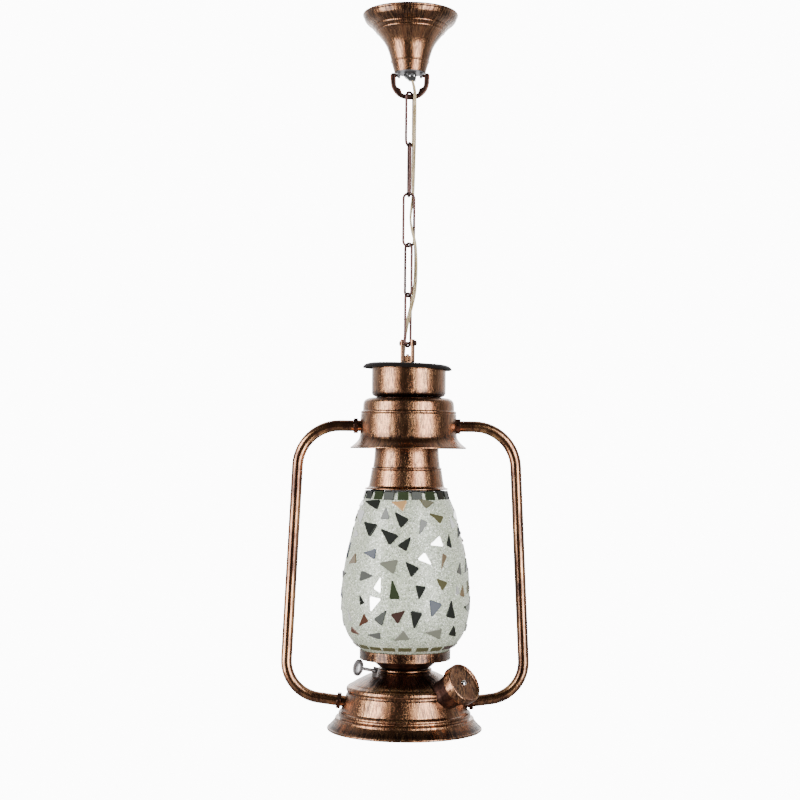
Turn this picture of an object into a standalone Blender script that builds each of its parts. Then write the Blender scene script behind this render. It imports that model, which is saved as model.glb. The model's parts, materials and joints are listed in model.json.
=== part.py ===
"""A hanging lantern: ceiling canopy, hook ring, five-link chain, and a copper lantern with a mosaic glass.

Sizes are in millimetres, and MM turns them into metres. +Z is up and -Y is the front. The origin is the
middle of the ceiling bracket's top face, and the lantern hangs straight down from it.
"""

import math

import bmesh
import bpy
from mathutils import Matrix, Vector

MM = 0.001
GAP = 0.3  # left between two pieces that touch
ORIGIN = Vector((0, 0, 0))
X_AXIS = Vector((1, 0, 0))
Y_AXIS = Vector((0, 1, 0))
Z_AXIS = Vector((0, 0, 1))

# Ceiling bracket, canopy and hook ring
BRACKET_LENGTH = 66
BRACKET_WIDTH = 18
BRACKET_THICKNESS = 2
BRACKET_HOLE_AT = 29.5  # each ceiling screw's hole, from the middle
TERMINALS_AT = 19.8
YOKE_BOTTOM = -20
YOKE_DEPTH = 14
STRIP = 1.6  # thickness of the bent strips
NIPPLE_RADIUS = 3.9
NIPPLE_BORE = 3.0
NIPPLE_TOP = -14.2
NIPPLE_BOTTOM = -49.7
CANOPY_BOTTOM = -47
PLATE_RADIUS = 12.2
PLATE_TOP = CANOPY_BOTTOM - GAP
PLATE_BOTTOM = PLATE_TOP - 1
RING_PIN_HEIGHT = -50.2
RING_PIN_RADIUS = 1.2
RING_DEPTH = 3.2
RING_BAR_TOP = -65.2
RING_BAR_BOTTOM = -69.4
RING_BAR_HEIGHT = (RING_BAR_TOP + RING_BAR_BOTTOM) / 2

# Chain: the way each link's width points, counted from +X
WIRE = 1.0
LINK_HALF_WIDTH = 4.4
LINK_PITCH = 40.55
FIRST_LINK_BOTTOM = -107.2
LINK_TURNS = (50, 100, 10, -54, 59)
LINK_PLAY = (0.8, 0.25, 0, 0, 0)  # added length: on the ring's bar, and where two links cross at a narrow angle
CHAIN_BOTTOM = FIRST_LINK_BOTTOM - LINK_PITCH * (len(LINK_TURNS) - 1)

# Clevis and the screw that holds the lantern's top together
BOLT_RADIUS = 1.25
BOLT_HEIGHT = CHAIN_BOTTOM + WIRE + GAP + BOLT_RADIUS
BOLT_TURN = LINK_TURNS[-1] - 90
CLEVIS_WIDTH = 10.5
CLEVIS_STRAP = 4.3
LID_TOP = -283.5
CLEVIS_BOTTOM = LID_TOP + GAP
SCREW_RADIUS = 1.25
SCREW_HOLE = SCREW_RADIUS + GAP
HANGER_SCREW_TOP = -275.8

# Lantern body
SHEET = 1.0
HOOD_TOP = -311.1
NECK_FLANGE = -384.9
GLASS_TOP = NECK_FLANGE - 2.5
GLASS_WALL = 2.2
COLLAR_TOP = -514.8
COLLAR_BOTTOM = -522.0
COLLAR_RADIUS = 36.8
COLLAR_FLOOR = -518.8
CONE_BOTTOM = -529.4
NECK_RING_BOTTOM = -531.6
TANK_TOP = NECK_RING_BOTTOM - GAP
TIE_RADIUS = 2.0

# Side tubes
TUBE_RADIUS = 4.5
TUBE_BORE = 3.7
TUBE_TOP_HEIGHT = -334
TUBE_TOP_CORNER = 86.8
TUBE_LOW_CORNER = (97.3, -550.7)
TUBE_LOW_SLOPE = math.radians(7.6)
TUBE_TOP_BEND = 34
TUBE_LOW_BEND = 30
TUBE_TOP_END = 33.6
TUBE_LOW_END = 41.5
NUT_FLATS = 12
NUT_THICKNESS = 3.4

# Wick knob: its shaft points outwards, to the front left, and a little up
KNOB_REACH = 44.6
KNOB_TURN = math.radians(213)
KNOB_RISE = math.radians(13)
KNOB_HEIGHT = -526.6
SHAFT_RADIUS = 1.35
SHAFT_BRACKET_AT = -17.2  # along the shaft, from the knob's middle

# Filler: the cap's face points to the front right and up
CAP_CENTRE = Vector((47, -43, -535))
CAP_AXIS = Vector((0.64, -0.573, 0.511)).normalized()
CAP_RADIUS = 16.2

# Twin flex: the middle of its whole run, from the terminal block to the lampholder
FLEX_RADIUS = 1.7
FLEX_STEP = 7.0
FLEX_ROUTE = (
    (12.9, 0.0, -7.0),
    (8.6, 0.0, -6.9),
    (4.9, 0.0, -7.7),
    (2.2, 0.0, -10.2),
    (0.7, 0.0, -14.8),
    (0.2, 0.0, -20.0),
    (0.0, 0.0, -30.0),
    (0.2, 0.0, -40.0),
    (0.5, -0.1, -46.5),
    (1.3, -0.4, -51.5),
    (2.5, -1.3, -56.5),
    (3.5, -2.9, -61.0),
    (4.0, -4.2, -66.0),
    (4.1, -4.5, -72.0),
    (4.0, -3.9, -84.3),
    (3.8, -3.2, -96.3),
    (3.7, -2.4, -108.3),
    (3.5, -1.2, -120.3),
    (3.4, 0.6, -131.3),
    (3.3, 2.6, -140.3),
    (3.1, 3.7, -148.3),
    (2.2, 2.6, -156.3),
    (1.4, 0.2, -165.8),
    (2.6, -1.9, -175.3),
    (4.9, -2.9, -184.3),
    (5.7, -2.8, -192.3),
    (6.0, -2.2, -204.3),
    (5.7, -1.8, -216.3),
    (4.7, -1.9, -227.3),
    (2.6, -1.3, -237.3),
    (0.2, 0.1, -247.3),
    (-1.5, 3.0, -256.3),
    (-2.3, 6.0, -262.8),
    (-2.7, 8.0, -268.0),
    (-3.1, 9.2, -276.0),
    (-3.2, 9.5, -286.0),
    (-3.1, 9.4, -300.0),
    (-2.8, 9.0, -311.0),
    (-2.2, 7.2, -318.0),
    (-1.2, 3.8, -323.5),
    (-0.2, 0.8, -328.6),
    (0.0, 0.0, -336.0),
)
FLEX_CUTS = (-62.5, -96.8, -128.8, -168.3, -208.3, -249.3)  # heights between joints
FLEX_HOLE = Vector((-3.2, 9.5, 0))  # where it goes through the lid
CROWN_HOLE = Vector((-2.8, 9.0, 0))  # where it goes through bowl and hood

BIG_TURN = 32  # sides of a large turned piece
SMALL_TURN = 16
NUT_SIDES = 12  # points around a nut: its corners and the middles of its flats


# ---------------------------------------------------------------- materials
def look(name, colour, metallic, roughness, transmission=0.0):
    """A material, made once for each name."""
    found = bpy.data.materials.get(name)
    if found:
        return found
    made = bpy.data.materials.new(name)
    made.use_nodes = True
    shader = made.node_tree.nodes["Principled BSDF"]
    shader.inputs["Base Color"].default_value = (*colour, 1)
    shader.inputs["Metallic"].default_value = metallic
    shader.inputs["Roughness"].default_value = roughness
    shader.inputs["Transmission Weight"].default_value = transmission
    made.diffuse_color = (*colour, 1)
    return made


def copper():
    return look("antique_copper", (0.36, 0.16, 0.08), 1.0, 0.32)


def dark_copper():
    return look("dark_copper", (0.10, 0.05, 0.03), 1.0, 0.42)


def chrome():
    return look("chrome", (0.75, 0.75, 0.75), 1.0, 0.12)


def zinc():
    return look("zinc", (0.42, 0.41, 0.43), 1.0, 0.45)


def black_plastic():
    return look("black_plastic", (0.02, 0.02, 0.02), 0.0, 0.4)


def rubber():
    return look("rubber", (0.05, 0.05, 0.05), 0.0, 0.8)


def glitter_glass():
    return look("mosaic_glass", (0.62, 0.63, 0.52), 0.0, 0.35)


def bulb_glass():
    return look("bulb_glass", (0.9, 0.9, 0.88), 0.0, 0.3, 0.2)


def clear_flex():
    return look("clear_flex", (0.62, 0.5, 0.33), 0.0, 0.25)


# ---------------------------------------------------------------- meshes
def finished(bm, name):
    """The bmesh as a mesh in metres, closed, facing out and smooth but for its sharp edges."""
    bmesh.ops.remove_doubles(bm, verts=bm.verts, dist=1e-4)
    bmesh.ops.recalc_face_normals(bm, faces=bm.faces)
    bmesh.ops.scale(bm, vec=(MM, MM, MM), verts=bm.verts)
    mesh = bpy.data.meshes.new(name)
    bm.to_mesh(mesh)
    bm.free()
    mesh.shade_smooth()
    mesh.set_sharp_from_angle(angle=math.radians(35))
    return mesh


def turned(name, outline, sides=BIG_TURN):
    """An outline of (radius, height) points turned about Z. It is closed, or starts and ends on the axis."""
    bm = bmesh.new()
    points = [bm.verts.new((radius, 0, height)) for radius, height in outline]
    pairs = list(zip(points, points[1:]))
    if outline[0][0] > 0 or outline[-1][0] > 0:
        pairs.append((points[-1], points[0]))
    edges = [bm.edges.new(pair) for pair in pairs]
    bmesh.ops.spin(
        bm, geom=points + edges, cent=ORIGIN, axis=Z_AXIS, angle=math.tau, steps=sides, use_merge=True
    )
    return finished(bm, name)


def sheet(outer, thickness=SHEET):
    """The closed outline of sheet metal whose outer side is given from the top or middle downwards."""
    line = [Vector(point) for point in outer]
    ways = [(b - a).normalized() for a, b in zip(line, line[1:])]
    sides = [Vector((way.y, -way.x)) for way in ways]
    before, after = [sides[0], *sides], [*sides, sides[-1]]
    inner = []
    for point, a, b in zip(line, before, after):
        middle = (a + b).normalized()
        inner.append(point + middle * thickness / max(middle.dot(a), 0.6))
    return [tuple(p) for p in line] + [tuple(p) for p in reversed(inner)]


def extruded(name, outline, depth):
    """A flat outline of (x, z) points, given depth along Y, half each way."""
    bm = bmesh.new()
    face = bm.faces.new([bm.verts.new((x, -depth / 2, z)) for x, z in outline])
    side = bmesh.ops.extrude_face_region(bm, geom=[face])["geom"]
    moved = [part for part in side if isinstance(part, bmesh.types.BMVert)]
    bmesh.ops.translate(bm, vec=(0, depth, 0), verts=moved)
    return finished(bm, name)


def block(name, size, middle=ORIGIN):
    bm = bmesh.new()
    bmesh.ops.create_cube(bm, size=1)
    bmesh.ops.scale(bm, vec=size, verts=bm.verts)
    bmesh.ops.translate(bm, vec=middle, verts=bm.verts)
    return finished(bm, name)


def frame(name, width, height, wall, depth, top):
    """A strip bent into a rectangle that is open along X: width is along Y, and depth along X."""
    bm = bmesh.new()
    loops = []
    for x in (-depth / 2, depth / 2):
        for inset in (0, wall):
            y, low, high = width / 2 - inset, top - height + inset, top - inset
            corners = ((-y, low), (y, low), (y, high), (-y, high))
            loops.append([bm.verts.new((x, *corner)) for corner in corners])
    back_outer, back_inner, front_outer, front_inner = loops
    joined = (
        (back_outer, back_inner), (back_inner, front_inner), (front_inner, front_outer), (front_outer, back_outer)
    )
    for one, other in joined:
        for i in range(4):
            j = (i + 1) % 4
            bm.faces.new((one[i], one[j], other[j], other[i]))
    return finished(bm, name)


def round_bar(name, radius, low, high, sides=SMALL_TURN):
    return turned(name, [(0, low), (radius, low), (radius, high), (0, high)], sides)


def washer(name, bore, radius, low, high, sides=SMALL_TURN):
    return turned(name, [(bore, low), (radius, low), (radius, high), (bore, high)], sides)


def hex_nut(name, flats, bore, thickness):
    """A nut about Z, from height 0 up to its thickness."""
    bm = bmesh.new()
    loops = []
    for height in (0, thickness):
        for nut_side in (True, False):
            loop = []
            for step in range(NUT_SIDES):
                angle = math.tau * step / NUT_SIDES
                off_flat = (angle % (math.pi / 3)) - math.pi / 6
                radius = flats / 2 / math.cos(off_flat) if nut_side else bore
                loop.append(bm.verts.new((radius * math.cos(angle), radius * math.sin(angle), height)))
            loops.append(loop)
    low_outer, low_inner, high_outer, high_inner = loops
    joined = ((low_outer, high_outer), (high_outer, high_inner), (high_inner, low_inner), (low_inner, low_outer))
    for one, other in joined:
        for i in range(NUT_SIDES):
            j = (i + 1) % NUT_SIDES
            bm.faces.new((one[i], one[j], other[j], other[i]))
    return finished(bm, name)


def swept(name, route, normal, radius, sides, closed=False, bore=0):
    """A round wire or, with a bore, a tube along a flat route. The normal is that of the route's plane."""
    bm = bmesh.new()
    last = len(route) - 1

    def rings(size):
        made = []
        for i, point in enumerate(route):
            before = route[i - 1] if i or closed else point
            after = route[(i + 1) % len(route)] if i < last or closed else point
            side = (after - before).normalized().cross(normal)
            turns = [math.tau * step / sides for step in range(sides)]
            made.append([
                bm.verts.new(point + size * (math.cos(turn) * side + math.sin(turn) * normal)) for turn in turns
            ])
        return made

    def skin(one, other):
        for i in range(sides):
            j = (i + 1) % sides
            bm.faces.new((one[i], one[j], other[j], other[i]))

    outer = rings(radius)
    for i in range(last + 1 if closed else last):
        skin(outer[i], outer[(i + 1) % len(route)])
    if bore:
        inner = rings(bore)
        for one, other in zip(inner, inner[1:]):
            skin(one, other)
        skin(outer[0], inner[0])
        skin(outer[-1], inner[-1])
    elif not closed:
        bm.faces.new(outer[0])
        bm.faces.new(outer[-1])
    return finished(bm, name)


def arc(middle, first, turn, axis, steps):
    """Points on a turn about an axis through middle, from the point first on."""
    return [
        middle + Matrix.Rotation(turn * step / steps, 3, axis) @ (first - middle) for step in range(steps + 1)
    ]


def rounded(corners, radii, steps=8):
    """A flat route through the corners, each inner one rounded to its radius."""
    route = [corners[0]]
    for before, corner, after, radius in zip(corners, corners[1:], corners[2:], radii):
        back, on = (before - corner).normalized(), (after - corner).normalized()
        half = back.angle(on) / 2
        first = corner + back * radius / math.tan(half)
        middle = corner + (back + on).normalized() * radius / math.sin(half)
        route += arc(middle, first, math.pi - 2 * half, on.cross(back).normalized(), steps)
    return [*route, corners[-1]]


def aimed(direction, at=ORIGIN):
    """Places a piece whose own Z is to point along direction, in millimetres."""
    turn = direction.to_track_quat("Z", "Y").to_matrix().to_4x4()
    return Matrix.Translation(Vector(at) * MM) @ turn


# ---------------------------------------------------------------- objects
def add(name, mesh, finish, pivot=None, place=None):
    """One piece of the lantern. It moves with its pivot."""
    piece = bpy.data.objects.new(name, mesh)
    bpy.context.scene.collection.objects.link(piece)
    if not mesh.materials:
        mesh.materials.append(finish)
    if place:
        piece.matrix_world = place
    if pivot:
        piece.parent = pivot
        piece.matrix_parent_inverse = pivot.matrix_world.inverted()
    return piece


def make_pivot(name, at):
    """An empty on a joint's axis."""
    pivot = bpy.data.objects.new(name, None)
    bpy.context.scene.collection.objects.link(pivot)
    pivot.matrix_world = Matrix.Translation(Vector(at) * MM)
    pivot.empty_display_size = 0.01
    return pivot


def shape(piece, mesh, place=None, operation="DIFFERENCE"):
    """Cuts a hidden shape out of a piece, or joins it on."""
    tool = bpy.data.objects.new(f"tool_{mesh.name}", mesh)
    bpy.context.scene.collection.objects.link(tool)
    if place:
        tool.matrix_world = place
    tool.hide_render = True
    tool.display_type = "WIRE"
    step = piece.modifiers.new(mesh.name, "BOOLEAN")
    step.operation = operation
    step.solver = "EXACT"
    step.object = tool


def bevel(piece, width, segments=1, angle=40):
    step = piece.modifiers.new("edges", "BEVEL")
    step.width = width * MM
    step.segments = segments
    step.limit_method = "ANGLE"
    step.angle_limit = math.radians(angle)


# ---------------------------------------------------------------- ceiling end
def make_ceiling_bracket():
    middle = Vector((0, 0, -BRACKET_THICKNESS / 2))
    mesh = block("bracket_strap", (BRACKET_LENGTH, BRACKET_WIDTH, BRACKET_THICKNESS), middle)
    bracket = add("ceiling_bracket", mesh, zinc())
    yoke_top = -BRACKET_THICKNESS / 2
    yoke = frame("yoke", BRACKET_WIDTH, yoke_top - YOKE_BOTTOM, STRIP, YOKE_DEPTH, yoke_top)
    shape(bracket, yoke, operation="UNION")
    for side in (-1, 1):
        hole = round_bar(f"ceiling_screw_hole_{side}", 2.25, -5, 5)
        shape(bracket, hole, aimed(Z_AXIS, (side * BRACKET_HOLE_AT, 0, 0)))
    shape(bracket, round_bar("nipple_hole", NIPPLE_RADIUS + GAP, YOKE_BOTTOM - 1, YOKE_BOTTOM + STRIP + 1))


def make_nipple():
    add("threaded_nipple", washer("nipple", NIPPLE_BORE, NIPPLE_RADIUS, NIPPLE_BOTTOM, NIPPLE_TOP), zinc())
    nut = hex_nut("nipple_nut", 11, NIPPLE_RADIUS + GAP, 3)
    add("nipple_nut", nut, zinc(), place=aimed(Z_AXIS, (0, 0, YOKE_BOTTOM + STRIP + GAP)))


def make_terminal_block():
    low, high = -12, -BRACKET_THICKNESS - GAP
    size = (13.5, 12, high - low)
    body = add("terminal_block", block("terminals", size, (TERMINALS_AT, 0, (low + high) / 2)), black_plastic())
    bevel(body, 0.6)
    for number, y in ((1, -3), (2, 3)):
        shape(body, round_bar(f"terminal_hole_{number}", 2.0, -1, 4, 12), aimed(Z_AXIS, (TERMINALS_AT, y, low)))


def canopy_outline():
    """A spun trumpet with a rolled rim, two fine ridges, a plain lower band and a lip turned in."""
    outer = [
        (37.2, -GAP), (38.0, -1.6), (38.0, -3.4), (37.0, -6.3), (33.8, -10.0), (27.5, -15.5), (22.6, -21.0),
        (19.0, -26.5), (16.8, -33.0), (15.2, -39.3), (12.8, CANOPY_BOTTOM), (10.9, CANOPY_BOTTOM),
    ]
    return sheet(outer, 0.8)


def make_canopy():
    add("canopy", turned("canopy", canopy_outline()), copper())


def make_hanger_plate():
    mesh = washer("plate", NIPPLE_RADIUS + GAP, PLATE_RADIUS, PLATE_BOTTOM, PLATE_TOP, 32)
    plate = add("hanger_plate", mesh, zinc())
    lug_bottom, lug_top = RING_PIN_HEIGHT - 2.2, PLATE_BOTTOM + 0.5
    for side in (-1, 1):
        middle = (side * 8.9, 0, (lug_bottom + lug_top) / 2)
        lug = block(f"lug_{side}", (2.6, 4.4, lug_top - lug_bottom), middle)
        shape(plate, lug, operation="UNION")
    pin_hole = round_bar("ring_pin_holes", RING_PIN_RADIUS + GAP, -11, 11, 16)
    shape(plate, pin_hole, aimed(X_AXIS, (0, 0, RING_PIN_HEIGHT)))


def make_cord_grip():
    """A round collar on the nipple's end, over a block that tapers to the flex, with two clamp screws."""
    collar_bottom, low = -51.2, -54.6
    grip = add("cord_grip", washer("grip_collar", NIPPLE_RADIUS + GAP, 5.0, collar_bottom, PLATE_BOTTOM - GAP, 24),
               black_plastic())
    bm = bmesh.new()
    upper = ((-4.4, -4.5), (5.2, -4.5), (5.2, 4.4), (-4.4, 4.4))
    lower = ((-0.9, -3.6), (4.7, -3.6), (4.7, 1.6), (-0.9, 1.6))
    tops = [bm.verts.new((x, y, NIPPLE_BOTTOM - GAP)) for x, y in upper]
    bottoms = [bm.verts.new((x, y, low)) for x, y in lower]
    bm.faces.new(tops)
    bm.faces.new(bottoms)
    for i in range(4):
        bm.faces.new((tops[i], tops[(i + 1) % 4], bottoms[(i + 1) % 4], bottoms[i]))
    shape(grip, finished(bm, "grip_taper"), operation="UNION")
    channel = [point for point in flex_line() if -58 < point.z < -44]
    shape(grip, flex_channel("flex_channel", channel))
    for number, x in ((1, -0.9), (2, 2.7)):
        head = round_bar(f"grip_screw_{number}", 1.1, -1.0, 0.6, 12)
        shape(grip, head, aimed(Y_AXIS, (x, -4.2, -51.4)), "UNION")


def make_hook_ring(pivot):
    """A cast D with a step in each lower corner, and a pin turned in at each end."""
    end = Vector((13.2, 0, RING_PIN_HEIGHT))
    cap = arc(end, end + Vector((-1.7, 0, 0)), math.pi, Y_AXIS, 6)
    half = [(p.x, p.z) for p in cap]
    half += [
        (14.9, -55.5), (14.3, -59.5), (12.5, -63.3), (9.2, -66.8), (5.0, -68.8), (0, RING_BAR_BOTTOM),
    ]
    inner = [
        (0, RING_BAR_TOP), (4.8, -65.0), (6.5, -63.9), (7.2, -61.9), (8.2, -60.0), (10.6, -59.4), (11.5, -58.0),
    ]
    right = [*inner[1:], *half[:-1]]
    left = [(-x, z) for x, z in reversed(right)]
    outline = [inner[0], *right, half[-1], *left]
    ring = add("hook_ring", extruded("ring", outline, RING_DEPTH), dark_copper(), pivot)
    bevel(ring, 0.9)
    for side in (-1, 1):
        pin = round_bar(f"ring_pin_{side}", RING_PIN_RADIUS, 7.9, 12.6, 12)
        shape(ring, pin, aimed(side * X_AXIS, (0, 0, RING_PIN_HEIGHT)), "UNION")


# ---------------------------------------------------------------- chain and flex
def link_route(number):
    """The middle of a link's wire. It hangs on the wire above it with a small gap."""
    bottom = FIRST_LINK_BOTTOM - LINK_PITCH * number
    top = bottom + LINK_PITCH + 2 * WIRE + GAP + LINK_PLAY[number]
    turn = math.radians(LINK_TURNS[number])
    across = Vector((math.cos(turn), math.sin(turn), 0)) * LINK_HALF_WIDTH
    normal = across.normalized().cross(Z_AXIS)
    high, low = Vector((0, 0, top - LINK_HALF_WIDTH)), Vector((0, 0, bottom + LINK_HALF_WIDTH))
    over = arc(high, high + across, math.pi, normal, 8)
    under = arc(low, low - across, math.pi, normal, 8)
    return over + under, normal


def make_chain(pivots):
    for number, pivot in enumerate(pivots):
        route, normal = link_route(number)
        mesh = swept(f"link_{number + 1}", route, normal, WIRE, 8, closed=True)
        add(f"chain_link_{number + 1}", mesh, dark_copper(), pivot)


def flex_line():
    """A smooth line through the flex's route, with a point about every half millimetre."""
    points = [Vector(point) for point in FLEX_ROUTE]
    points = [2 * points[0] - points[1], *points, 2 * points[-1] - points[-2]]
    line = []
    for a, b, c, d in zip(points, points[1:], points[2:], points[3:]):
        steps = max(2, round((c - b).length * 2))
        for step in range(steps):
            t = step / steps
            line.append(
                0.5 * (2 * b + (c - a) * t + (2 * a - 5 * b + 4 * c - d) * t**2 + (3 * b - a - 3 * c + d) * t**3)
            )
    return [*line, points[-2]]


def flex_channel(name, line):
    """A cutter that is wider than the flex along one stretch of it."""
    return swept(name, line[::4], Y_AXIS, FLEX_RADIUS + 0.35, 12)


def make_flex(pivots):
    """The flex in one stretch for each joint of the chain, cut where it hangs between two joints."""
    line = flex_line()
    edges = [min(range(len(line)), key=lambda i: abs(line[i].z - cut)) for cut in FLEX_CUTS]
    edges = [0, *edges, len(line) - 1]
    for number, (first, last) in enumerate(zip(edges, edges[1:])):
        stretch = line[first:last + 1]
        length = sum((b - a).length for a, b in zip(stretch, stretch[1:]))
        count = max(4, round(length / FLEX_STEP))
        picked = [stretch[round(i * (len(stretch) - 1) / count)].copy() for i in range(count + 1)]
        picked[0] += (picked[1] - picked[0]).normalized() * GAP / 2
        picked[-1] += (picked[-2] - picked[-1]).normalized() * GAP / 2
        curve = bpy.data.curves.new(f"flex_{number + 1}", "CURVE")
        curve.dimensions = "3D"
        curve.bevel_depth = FLEX_RADIUS * MM
        curve.bevel_resolution = 2
        curve.use_fill_caps = True
        spline = curve.splines.new("POLY")
        spline.points.add(len(picked) - 1)
        for point, place in zip(spline.points, picked):
            point.co = (*(place * MM), 1)
        add(f"flex_{number + 1}", curve, clear_flex(), pivots[number])


# ---------------------------------------------------------------- clevis and lantern top
def bolt_axis():
    turn = math.radians(BOLT_TURN)
    return Vector((math.cos(turn), math.sin(turn), 0))


def make_clevis(pivot):
    """A strap bent into a U, with its cross bolt and nut."""
    half, top = CLEVIS_WIDTH / 2, BOLT_HEIGHT + 3.2
    inside, floor = half - STRIP, CLEVIS_BOTTOM + STRIP
    outline = [
        (-half, CLEVIS_BOTTOM), (half, CLEVIS_BOTTOM), (half, top), (inside, top),
        (inside, floor), (-inside, floor), (-inside, top), (-half, top),
    ]
    turn = Matrix.Rotation(math.radians(BOLT_TURN), 4, "Z")
    clevis = add("clevis", extruded("clevis", outline, CLEVIS_STRAP), copper(), pivot, turn)
    bevel(clevis, 0.45)
    along_bolt = aimed(bolt_axis(), (0, 0, BOLT_HEIGHT))
    shape(clevis, round_bar("clevis_bolt_hole", BOLT_RADIUS + GAP, -9, 9, 16), along_bolt)
    shape(clevis, round_bar("clevis_screw_hole", SCREW_HOLE, CLEVIS_BOTTOM - 1, floor + 1, 16))
    outside = half + GAP
    bolt = [
        (0, outside + 1.4), (1.6, outside + 1.4), (2.1, outside + 0.7), (2.1, outside), (BOLT_RADIUS, outside),
        (BOLT_RADIUS, -outside - 2.6), (0, -outside - 2.6),
    ]
    back = aimed(-bolt_axis(), (0, 0, BOLT_HEIGHT))
    add("clevis_bolt", turned("clevis_bolt", bolt, 16), dark_copper(), pivot, back)
    nut = hex_nut("clevis_nut", 4.6, BOLT_RADIUS + GAP, 2.0)
    add("clevis_nut", nut, dark_copper(), pivot, aimed(bolt_axis(), bolt_axis() * outside + Z_AXIS * BOLT_HEIGHT))


def make_hanger_screw(pivot):
    """It clamps clevis, lid, bowl, hood and lampholder bracket together, from below."""
    outline = [
        (0, HANGER_SCREW_TOP), (SCREW_RADIUS, HANGER_SCREW_TOP), (SCREW_RADIUS, -314.1), (3.2, -314.1),
        (3.0, -316.0), (0, -316.3),
    ]
    add("hanger_screw", turned("hanger_screw", outline, 16), dark_copper(), pivot)


def make_lid(pivot):
    outer = [
        (SCREW_HOLE, LID_TOP), (24, LID_TOP), (29.5, -283.6), (33.5, -284.7), (35.7, -286.3), (36.4, -288.0),
    ]
    lid = add("chimney_lid", turned("lid", sheet(outer)), copper(), pivot)
    shape(lid, round_bar("grommet_hole", 3.0, -286, -282), aimed(Z_AXIS, FLEX_HOLE))
    ring = [
        (2.05, -282.3), (3.8, -282.6), (3.8, -283.2), (2.7, -283.2), (2.7, -284.9), (3.8, -284.9), (2.05, -285.7),
    ]
    add("flex_grommet", turned("grommet", ring, 16), rubber(), pivot, aimed(Z_AXIS, FLEX_HOLE))


def make_bowl(pivot):
    outer = [
        (30, -285.2), (30, -305), (29.0, -308.4), (26.2, -310.8), (SCREW_HOLE, -310.8),
    ]
    bowl = add("chimney_bowl", turned("bowl", sheet(outer)), copper(), pivot)
    shape(bowl, round_bar("bowl_flex_hole", 2.6, -312, -308, 16), aimed(Z_AXIS, CROWN_HOLE))


def make_hood(pivot):
    """Crown, drum and flared skirt, spun in one piece. The side tubes go through the drum."""
    outer = [
        (SCREW_HOLE, HOOD_TOP), (31.8, HOOD_TOP), (35.6, -312.9), (36.9, -316), (37.0, -322.4),
        (38.9, -323.6), (39.2, -342.6), (41.2, -346.2), (46.9, -351.2),
    ]
    hood = add("hood", turned("hood", sheet(outer, 0.9)), copper(), pivot)
    shape(hood, round_bar("hood_flex_hole", 2.6, -313, -310, 16), aimed(Z_AXIS, CROWN_HOLE))
    hole = round_bar("hood_tube_holes", TUBE_RADIUS + GAP, -45, 45)
    shape(hood, hole, aimed(X_AXIS, (0, 0, TUBE_TOP_HEIGHT)))


def make_neck(pivot):
    """A sleeve whose top flange sits under the hood's step, and whose bottom flange holds the glass."""
    outer = [
        (37.8, -326.1), (25.8, -326.1), (25.8, -353), (27.4, -368.0), (28.5, -369.0), (30.5, -383.2),
        (33.3, NECK_FLANGE),
    ]
    add("neck", turned("neck", sheet(outer, 0.9)), copper(), pivot)


# ---------------------------------------------------------------- lamp
def make_lampholder(pivot):
    bracket = add("lampholder_bracket", frame("lamp_bracket", 21.8, 20.2, 1.5, 10, -312.3), zinc(), pivot,
                  Matrix.Rotation(math.radians(90), 4, "Z"))
    shape(bracket, round_bar("bracket_screw_hole", SCREW_HOLE, -315, -311, 16))
    shape(bracket, round_bar("bracket_nipple_hole", 4.6, -334, -330))
    nipple = [(3.3, -328.4), (6.2, -328.4), (6.2, -330.7), (4.3, -330.7), (4.3, -338), (3.3, -338)]
    add("lampholder_nipple", turned("lamp_nipple", nipple, 16), zinc(), pivot)
    body = [
        (4.6, -332.8), (10, -332.8), (15.5, -335.2), (18.5, -340), (18.5, -371), (19.2, -372), (19.2, -374),
        (14.6, -374), (14.6, -347), (4.6, -343),
    ]
    add("lampholder_body", turned("lamp_body", body, 24), black_plastic(), pivot)


def make_bulb(pivot):
    cap = [(0, -350), (4.5, -350.2), (9, -352.5), (13.3, -354.5), (13.3, -376), (11.5, -376), (11.5, -358), (0, -356)]
    add("bulb_cap", turned("bulb_cap", cap, 20), chrome(), pivot)
    height, radius, steps = -397, 19.5, 8
    start = math.acos(12.5 / radius)
    globe = [(0, -366), (10.8, -366), (10.8, -376.5)]
    for step in range(steps):
        angle = start - (start + math.pi / 2) * step / steps
        globe.append((radius * math.cos(angle), height + radius * math.sin(angle)))
    globe.append((0, height - radius))
    add("bulb_globe", turned("bulb_globe", globe, 20), bulb_glass(), pivot)


# ---------------------------------------------------------------- glass and what holds it
def make_glass(pivot):
    add("upper_gasket", washer("upper_gasket", 29.8, 32.6, GLASS_TOP + GAP, NECK_FLANGE - 0.9 - GAP, 32), rubber(),
        pivot)
    outer = [
        (32.8, GLASS_TOP), (38.0, -400), (43.2, -419), (47.4, -435), (50.4, -453), (52.0, -470),
        (51.6, -485), (49.6, -495.5), (46.4, -503.6), (41.6, -510.2), (35.4, -514.6), (35.2, -517.2),
    ]
    add("glass_shade", turned("glass_shade", sheet(outer, GLASS_WALL), 36), glitter_glass(), pivot)
    add("lower_gasket", washer("lower_gasket", 32.2, 35.2, COLLAR_FLOOR + GAP, -517.5, 32), rubber(), pivot)


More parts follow.
